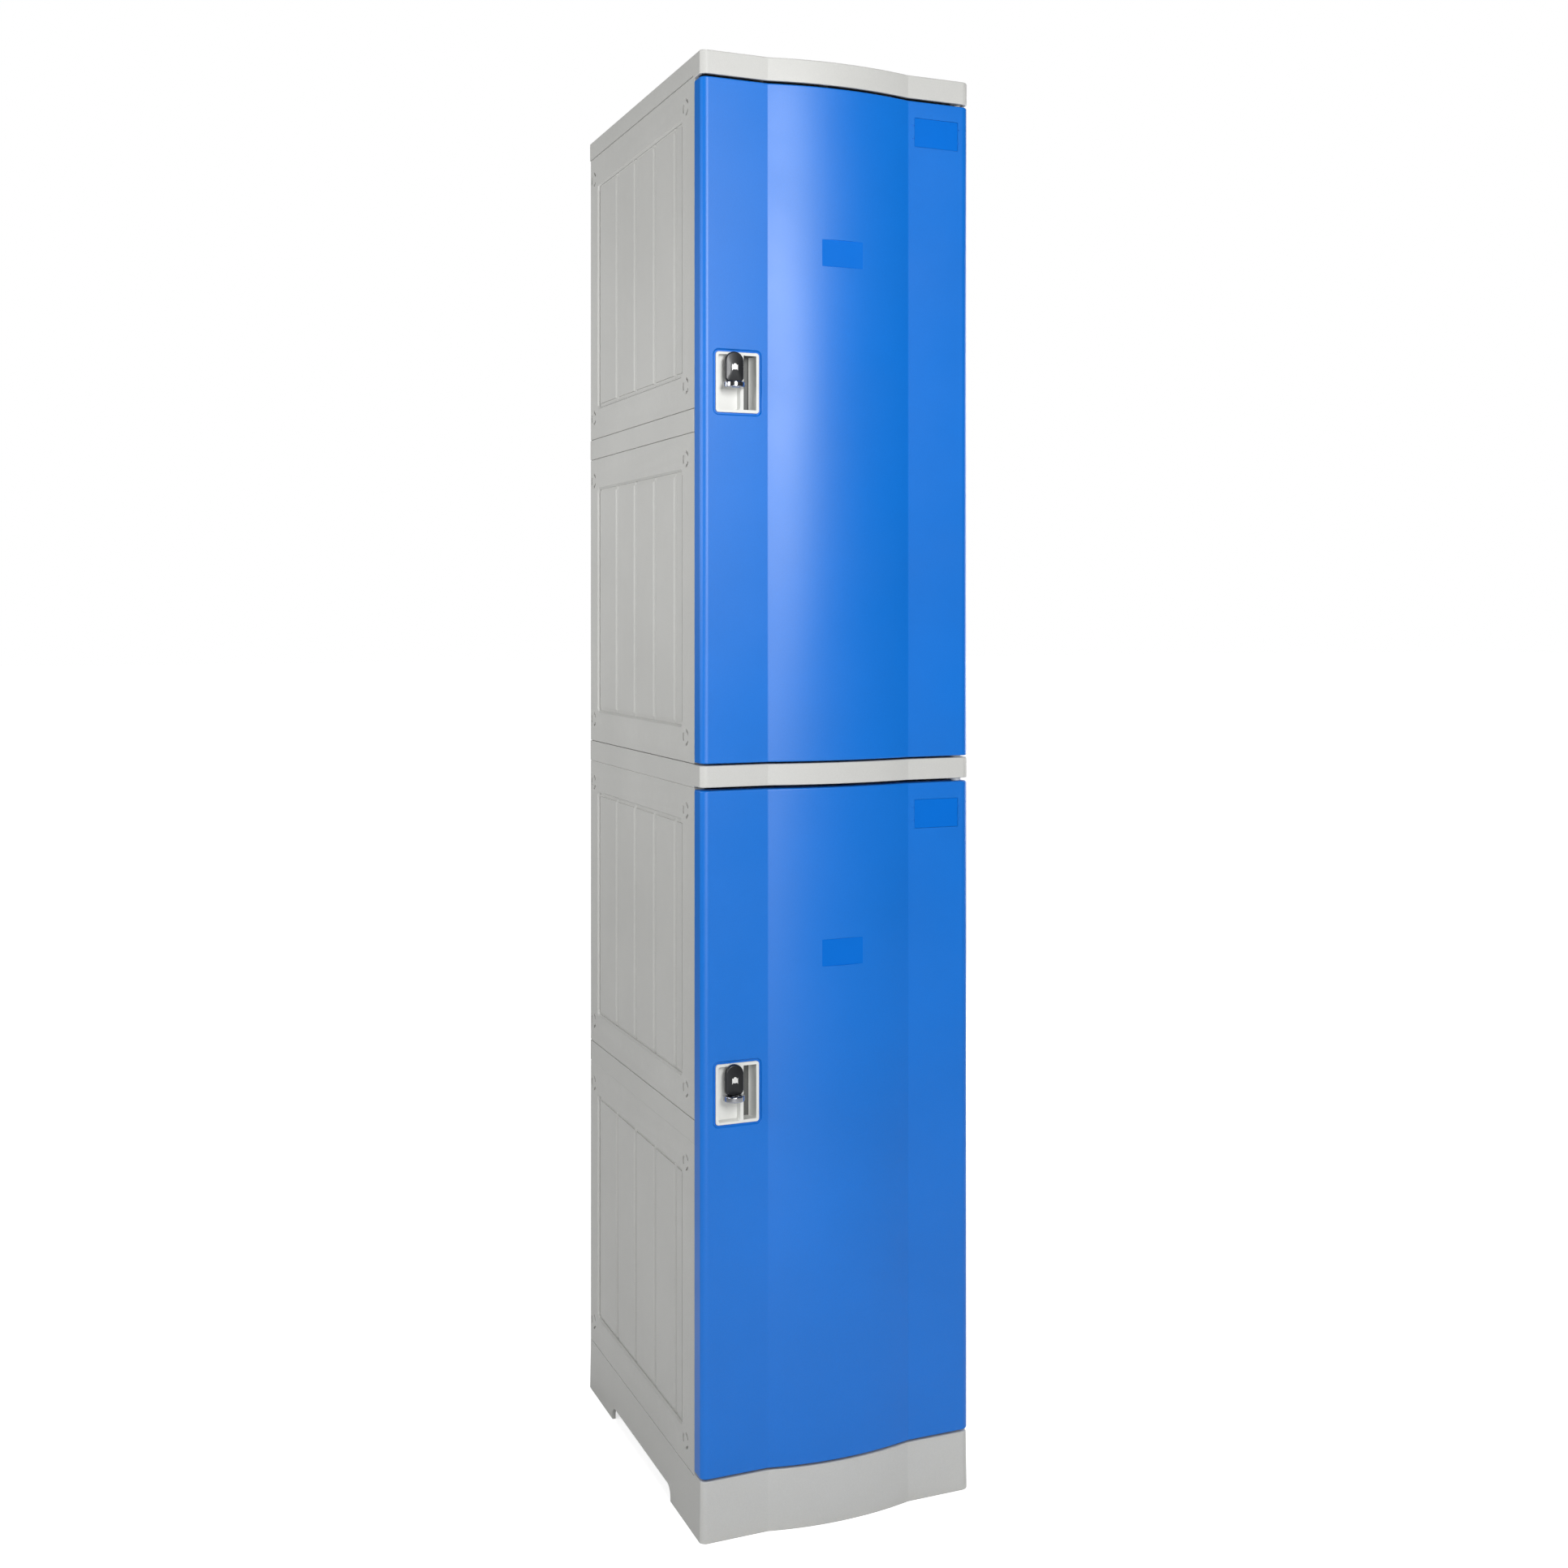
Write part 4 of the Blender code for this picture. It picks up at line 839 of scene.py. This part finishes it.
def make_lock_cup(side):
    """The grey cup: a shallow floor for the lock, a ridge, and a finger pocket with a curved right wall,
    whose floor and ceiling carry painted shade.
    """
    node = f"{side}_lock_cup"
    a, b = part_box(node)
    flange = stack(node_outline(node, 0, CUP_FLANGE_R),
                   rounded(FLAT_Y, FLAT_Y + CUP_FLANGE_T, 0.0007, 0.0), "Y")
    left, right = a.x + CUP_FLANGE_W, b.x - CUP_FLANGE_W
    foot, head = a.z + CUP_FLANGE_W, b.z - CUP_FLANGE_W
    floor = FLAT_Y + CUP_LOCK_SINK
    ridge_left, ridge_right = ((a.x + b.x) / 2 + off for off in CUP_RIDGE)
    body = stack(node_outline(node, -CUP_FLANGE_W, CUP_BODY_R),
                 [(0, FLAT_Y + CUP_FLANGE_T / 2), (0, floor + CUP_WALL)], "Y")
    deep = stack(rounded_rectangle(ridge_right - CUP_WALL, foot, right, head, 0.002, 4),
                 [(0, floor - CUP_WALL), (0, b.y)], "Y")
    form = shaped(flange, joins=[body, deep])
    shallow = rounded_rectangle(left + CUP_WALL, foot + CUP_WALL, ridge_left, head - CUP_WALL, 0.0025)
    shallow = stack(shallow, [(-0.0009, FLAT_Y - 0.002), (0.0004, floor)], "Y")
    # The pocket's plan: straight in behind the ridge, a flat floor, and a long curve out to the right.
    bottom, reach = b.y - CUP_WALL, right - CUP_WALL
    curve = [(reach - POCKET_CURVE_W + POCKET_CURVE_W * math.sin(turn),
              FLAT_Y - 0.0005 + (bottom - FLAT_Y) * math.cos(turn))
             for turn in (math.pi / 2 * i / 12 for i in range(13))]
    plan = [(ridge_right, FLAT_Y - BEYOND), (reach, FLAT_Y - BEYOND)] + curve[::-1] + [(ridge_right, bottom)]
    pocket = stack(plan, [(0, foot + CUP_WALL), (0, head - CUP_WALL)])
    bore = on_lock(side, LOCK_HOLE_R, floor - LAP, floor + CUP_WALL + LAP, 0.0)

    def in_painted_shade(face):
        """Whether a face is the pocket's floor or its ceiling, which are painted dark grey as painted shade.
        """
        x, y, z = face.center
        on_floor = bottom - 0.0025 < y < bottom + 0.0005
        on_ceiling = z > head - CUP_WALL - 0.0003 and y > FLAT_Y + 0.001
        return ridge_right - 0.0005 < x < reach and foot < z < head and (on_floor or on_ceiling)

    mesh = shaped(form, cuts=[shallow, pocket, bore], ease=0.0006, segments=3)
    piece(node, mesh, "cup_grey", [("cup_painted_shade", in_painted_shade)])


def make_card_insert(side):
    """The name card's window, a thin plate with eased edges."""
    node = f"{side}_name_card_insert"
    levels = rounded(low(node).y, high(node).y, 0.0002, 0.0, steps=2)
    piece(node, stack(node_outline(node, 0, 0.0006, 3), levels, "Y"), "card_blue")


def make_bushes(side):
    """The nylon bushes of the hinge: a flange outside the door and a sleeve inside it."""
    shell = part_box(f"{side}_door_shell")
    for end, edge, outward in (("bottom", shell[0].z, -1), ("top", shell[1].z, 1)):
        node = f"{side}_hinge_bush_{end}"
        inner, outer = sorted((low(node).z, high(node).z), reverse=outward < 0)
        flange = rod(BUSH_FLANGE_R, *sorted((edge + outward * SEAM, outer)), 0.0005, HINGE_X, HINGE_Y)
        sleeve = rod(BUSH_R, *sorted((edge + outward * LAP, inner)), 0.0004, HINGE_X, HINGE_Y)
        bore = rod(BUSH_BORE_R, low(node).z - BEYOND, high(node).z + BEYOND, 0.0, HINGE_X, HINGE_Y)
        piece(node, shaped(flange, joins=[sleeve], cuts=[bore]), "nylon")


# ---- Locks -----------------------------------------------
def hexagon(side, radius):
    """A hexagon about a lock's axis, with its corners on the radius."""
    return arc(LOCK_X, LOCK_Z[side], radius, 30, 390, 6)[:-1]


def make_lock_body(side):
    """What stays with the door: the barrel and its nut."""
    a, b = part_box(f"{side}_lock_barrel")
    floor = FLAT_Y + CUP_LOCK_SINK
    collar = on_lock(side, COLLAR_R, a.y, floor - SEAM, 0.0006)
    levels = [(0, floor - LAP), (0, floor + 0.0020)]
    for i in range(THREAD_STEPS):
        levels.append((THREAD_DEPTH if i % 2 else 0.0, floor + 0.0030 + i * THREAD_STEP))
    thread = stack(circle(LOCK_X, LOCK_Z[side], THREAD_R), levels + [(0.0006, b.y)], "Y")
    spindle_hole = on_lock(side, SPINDLE_HOLE_R, a.y - BEYOND, b.y + BEYOND, 0.0)
    piece(f"{side}_lock_barrel", shaped(collar, joins=[thread], cuts=[spindle_hole]), "lock_chrome")
    a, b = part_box(f"{side}_lock_nut")
    levels = [(0.0007, a.y), (0, a.y + 0.0005), (0, b.y - 0.0005), (0.0007, b.y)]
    nut = stack(hexagon(side, NUT_R), levels, "Y")
    hole = on_lock(side, LOCK_HOLE_R, a.y - LAP, b.y + LAP, 0.0)
    piece(f"{side}_lock_nut", shaped(nut, cuts=[hole]), "steel")


def make_knob(side):
    """The black knob with a domed face and a plain round stud, and the spindle behind it."""
    node = f"{side}_lock_knob"
    a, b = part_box(node)
    back = FLAT_Y - 0.0015
    # From the back: a small edge, the big rounded one, and the domed face in ever smaller copies.
    levels = [(0.0006, back), (0.0001, back - 0.0004), (0, back - 0.0010)]
    for turn in (math.pi / 2 * i / 6 for i in range(1, 7)):
        levels.append((KNOB_EDGE * (1 - math.cos(turn)),
                       a.y + KNOB_DOME + KNOB_EDGE * (1 - math.sin(turn))))
    for share in (1 - i / 6.4 for i in range(1, 7)):
        levels.append((KNOB_EDGE, a.y + KNOB_DOME * share ** 2, share))
    knob = stack(round_topped(node, side), levels, "Y")
    spindle = on_lock(side, SPINDLE_R, back - LAP, b.y)
    stud = stack(circle(LOCK_X, LOCK_Z[side] + STUD_UP, STUD_R, 32),
                 [(0, a.y + 0.0022), (0, a.y + 0.00030), (0.0003, a.y + 0.00006), (0.0006, a.y)], "Y")

    def on_stud(face):
        """Whether a face is the stud's."""
        away = math.hypot(face.center.x - LOCK_X, face.center.z - LOCK_Z[side] - STUD_UP)
        return away < STUD_R + 0.0001 and face.center.y < a.y + 0.0003

    piece(node, shaped(knob, joins=[spindle, stud]), "lock_black", [("badge", on_stud)])


def make_hasp(side):
    """The padlock's ring under the knob, level and half round, with the shackle's eye."""
    a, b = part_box(f"{side}_padlock_hasp")
    half = (b.x - a.x) / 2
    ring = arc(LOCK_X, a.y + half, half, 180, 360, 36) + [(b.x, b.y), (a.x, b.y)]
    form = stack(ring, rounded(a.z, b.z, 0.0013, 0.0013))
    eye = slot(LOCK_X, FLAT_Y - EYE_FRONT, EYE_HALF, EYE_R)
    waist, mouth = (-0.0004, 0.0008), (-0.0040, -0.0022)        # how far shrunk, and how deep in the ring
    hole = stack(eye, [(mouth[0], a.z + mouth[1]), (waist[0], a.z + waist[1]), (0, (a.z + b.z) / 2),
                       (waist[0], b.z - waist[1]), (mouth[0], b.z - mouth[1])])
    piece(f"{side}_padlock_hasp", shaped(form, cuts=[hole], ease=0.0003), "lock_chrome")


def make_cam(side):
    """The cam behind the door and the screw that holds it."""
    node = f"{side}_latch_cam"
    a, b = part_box(node)
    cam = stack(round_topped(node, side), rounded(a.y, b.y, 0.0004, 0.0004, steps=3), "Y")
    hole = on_lock(side, CAM_HOLE_R, a.y - LAP, b.y + LAP, 0.0)
    piece(node, shaped(cam, cuts=[hole]), "steel")
    a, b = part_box(f"{side}_cam_screw")
    head_front = b.y - SCREW_HEAD_H
    head = stack(hexagon(side, SCREW_HEAD_R), [(0, head_front), (0, b.y - 0.0006), (0.0006, b.y)], "Y")
    shank = on_lock(side, SCREW_R, a.y, head_front + LAP)
    slot_cut = box((LOCK_X - 0.006, b.y - SLOT_DEPTH, LOCK_Z[side] - SLOT_W / 2),
                   (LOCK_X + 0.006, b.y + 0.001, LOCK_Z[side] + SLOT_W / 2))
    piece(f"{side}_cam_screw", shaped(head, joins=[shank], cuts=[slot_cut]), "steel")


# ---- Stage -----------------------------------------------
CAMERA = (-0.9535, FLAT_Y - 2.1143, 1.177)
CAMERA_TURN = -22.5
CAMERA_LENS, SENSOR = 40.85, 36.0
CAMERA_SHIFT = -0.109
FLOOR_GLOW = 0.70


def make_camera():
    """Level, a little above the middle, and left of the locker."""
    data = bpy.data.cameras.new("camera")
    data.lens, data.sensor_width = CAMERA_LENS, SENSOR
    data.shift_y = CAMERA_SHIFT
    camera = bpy.data.objects.new("camera", data)
    camera.location = CAMERA
    camera.rotation_euler = (math.radians(90), 0, math.radians(CAMERA_TURN))
    bpy.context.scene.collection.objects.link(camera)
    bpy.context.scene.camera = camera


def make_floor():
    """A pale floor that glows to the camera, more so away from the locker, and still takes shadows."""
    bm = bmesh.new()
    bmesh.ops.create_grid(bm, x_segments=1, y_segments=1, size=40)
    floor = bpy.data.objects.new("floor", closed(bm))
    bpy.context.scene.collection.objects.link(floor)
    finish = Finish("studio_floor", (0.80, 0.80, 0.80), 0.9)
    finish.shader.inputs["Specular IOR Level"].default_value = 0.0
    finish.shader.inputs["Emission Color"].default_value = (1, 1, 1, 1)
    path = finish.nodes.new("ShaderNodeLightPath")
    away = finish.nodes.new("ShaderNodeVectorMath")
    away.operation = "LENGTH"
    finish.links.new(finish.place, away.inputs[0])
    spread = finish.nodes.new("ShaderNodeMapRange")
    for name, value in (("From Min", 0.5), ("From Max", 2.0), ("To Min", FLOOR_GLOW), ("To Max", 1.1)):
        spread.inputs[name].default_value = value
    finish.links.new(away.outputs["Value"], spread.inputs["Value"])
    finish.set("Emission Strength", finish.math("MULTIPLY", path.outputs["Is Camera Ray"],
                                                spread.outputs["Result"]))
    finish.set("Base Color", finish.vary_colour(0.01, 1.0))
    floor.data.materials.append(finish.material)


def soft_box(name, place, target, size, power):
    """A rectangular light that faces a target."""
    data = bpy.data.lights.new(name, "AREA")
    data.shape = "RECTANGLE"
    data.size, data.size_y = size
    data.energy = power
    light = bpy.data.objects.new(name, data)
    light.location = place
    aim = Vector(target) - Vector(place)
    light.rotation_euler = aim.to_track_quat("-Z", "Y").to_euler()
    bpy.context.scene.collection.objects.link(light)


def make_lights():
    """Soft studio light: a key, two at the left, a low one, two behind, one at the right and one above."""
    soft_box("key", (-0.12, -2.55, 1.98), (0, -0.25, 1.93), (0.7, 1.2), 48)
    soft_box("left_front", (-2.0, -0.7, 1.6), (-0.2, 0, 1.5), (0.8, 0.8), 14)
    soft_box("left", (-1.6, 0.5, 1.5), (-0.2, 0.2, 1.45), (0.5, 0.7), 9.5)
    soft_box("low", (-0.9, -3.2, 0.8), (0, 0, 0.5), (1.8, 1.0), 25)
    soft_box("behind_left", (-1.9, 2.6, 1.7), (-0.1, 0.1, 1.3), (1.0, 1.4), 4)
    soft_box("behind_right", (2.4, 2.2, 1.6), (0, 0, 1.0), (1.4, 1.8), 42)
    soft_box("right", (2.6, 0.30, 1.3), (0.2, 0.05, 1.0), (1.0, 1.6), 26)
    soft_box("top", (0.05, 0.12, 3.6), (0, 0.05, 1.9), (0.35, 0.35), 16)
    world = bpy.data.worlds.new("room")
    world.use_nodes = True
    bpy.context.scene.world = world
    nodes, links = world.node_tree.nodes, world.node_tree.links
    room = nodes["Background"]
    room.inputs["Color"].default_value = (0.97, 0.98, 1.0, 1)
    room.inputs["Strength"].default_value = 0.05
    seen = nodes.new("ShaderNodeBackground")
    seen.inputs["Color"].default_value = (1, 1, 1, 1)
    choose = nodes.new("ShaderNodeMixShader")
    path = nodes.new("ShaderNodeLightPath")
    links.new(path.outputs["Is Camera Ray"], choose.inputs["Fac"])
    links.new(room.outputs["Background"], choose.inputs[1])
    links.new(seen.outputs["Background"], choose.inputs[2])
    links.new(choose.outputs["Shader"], nodes["World Output"].inputs["Surface"])
    bpy.context.scene.view_settings.view_transform = "Standard"


# ---- The whole locker ------------------------------------
make_camera()
make_floor()
make_lights()
for make in (make_plinth, make_shelves, make_divider, make_cover, make_side_panels, make_back_panels,
             make_hinge_pins, make_strikes, make_hooks):
    make()
for door_side in SIDES:
    for make in (make_door_shell, make_door_liner, make_lock_cup, make_card_insert, make_bushes,
                 make_lock_body, make_knob, make_hasp, make_cam):
        make(door_side)
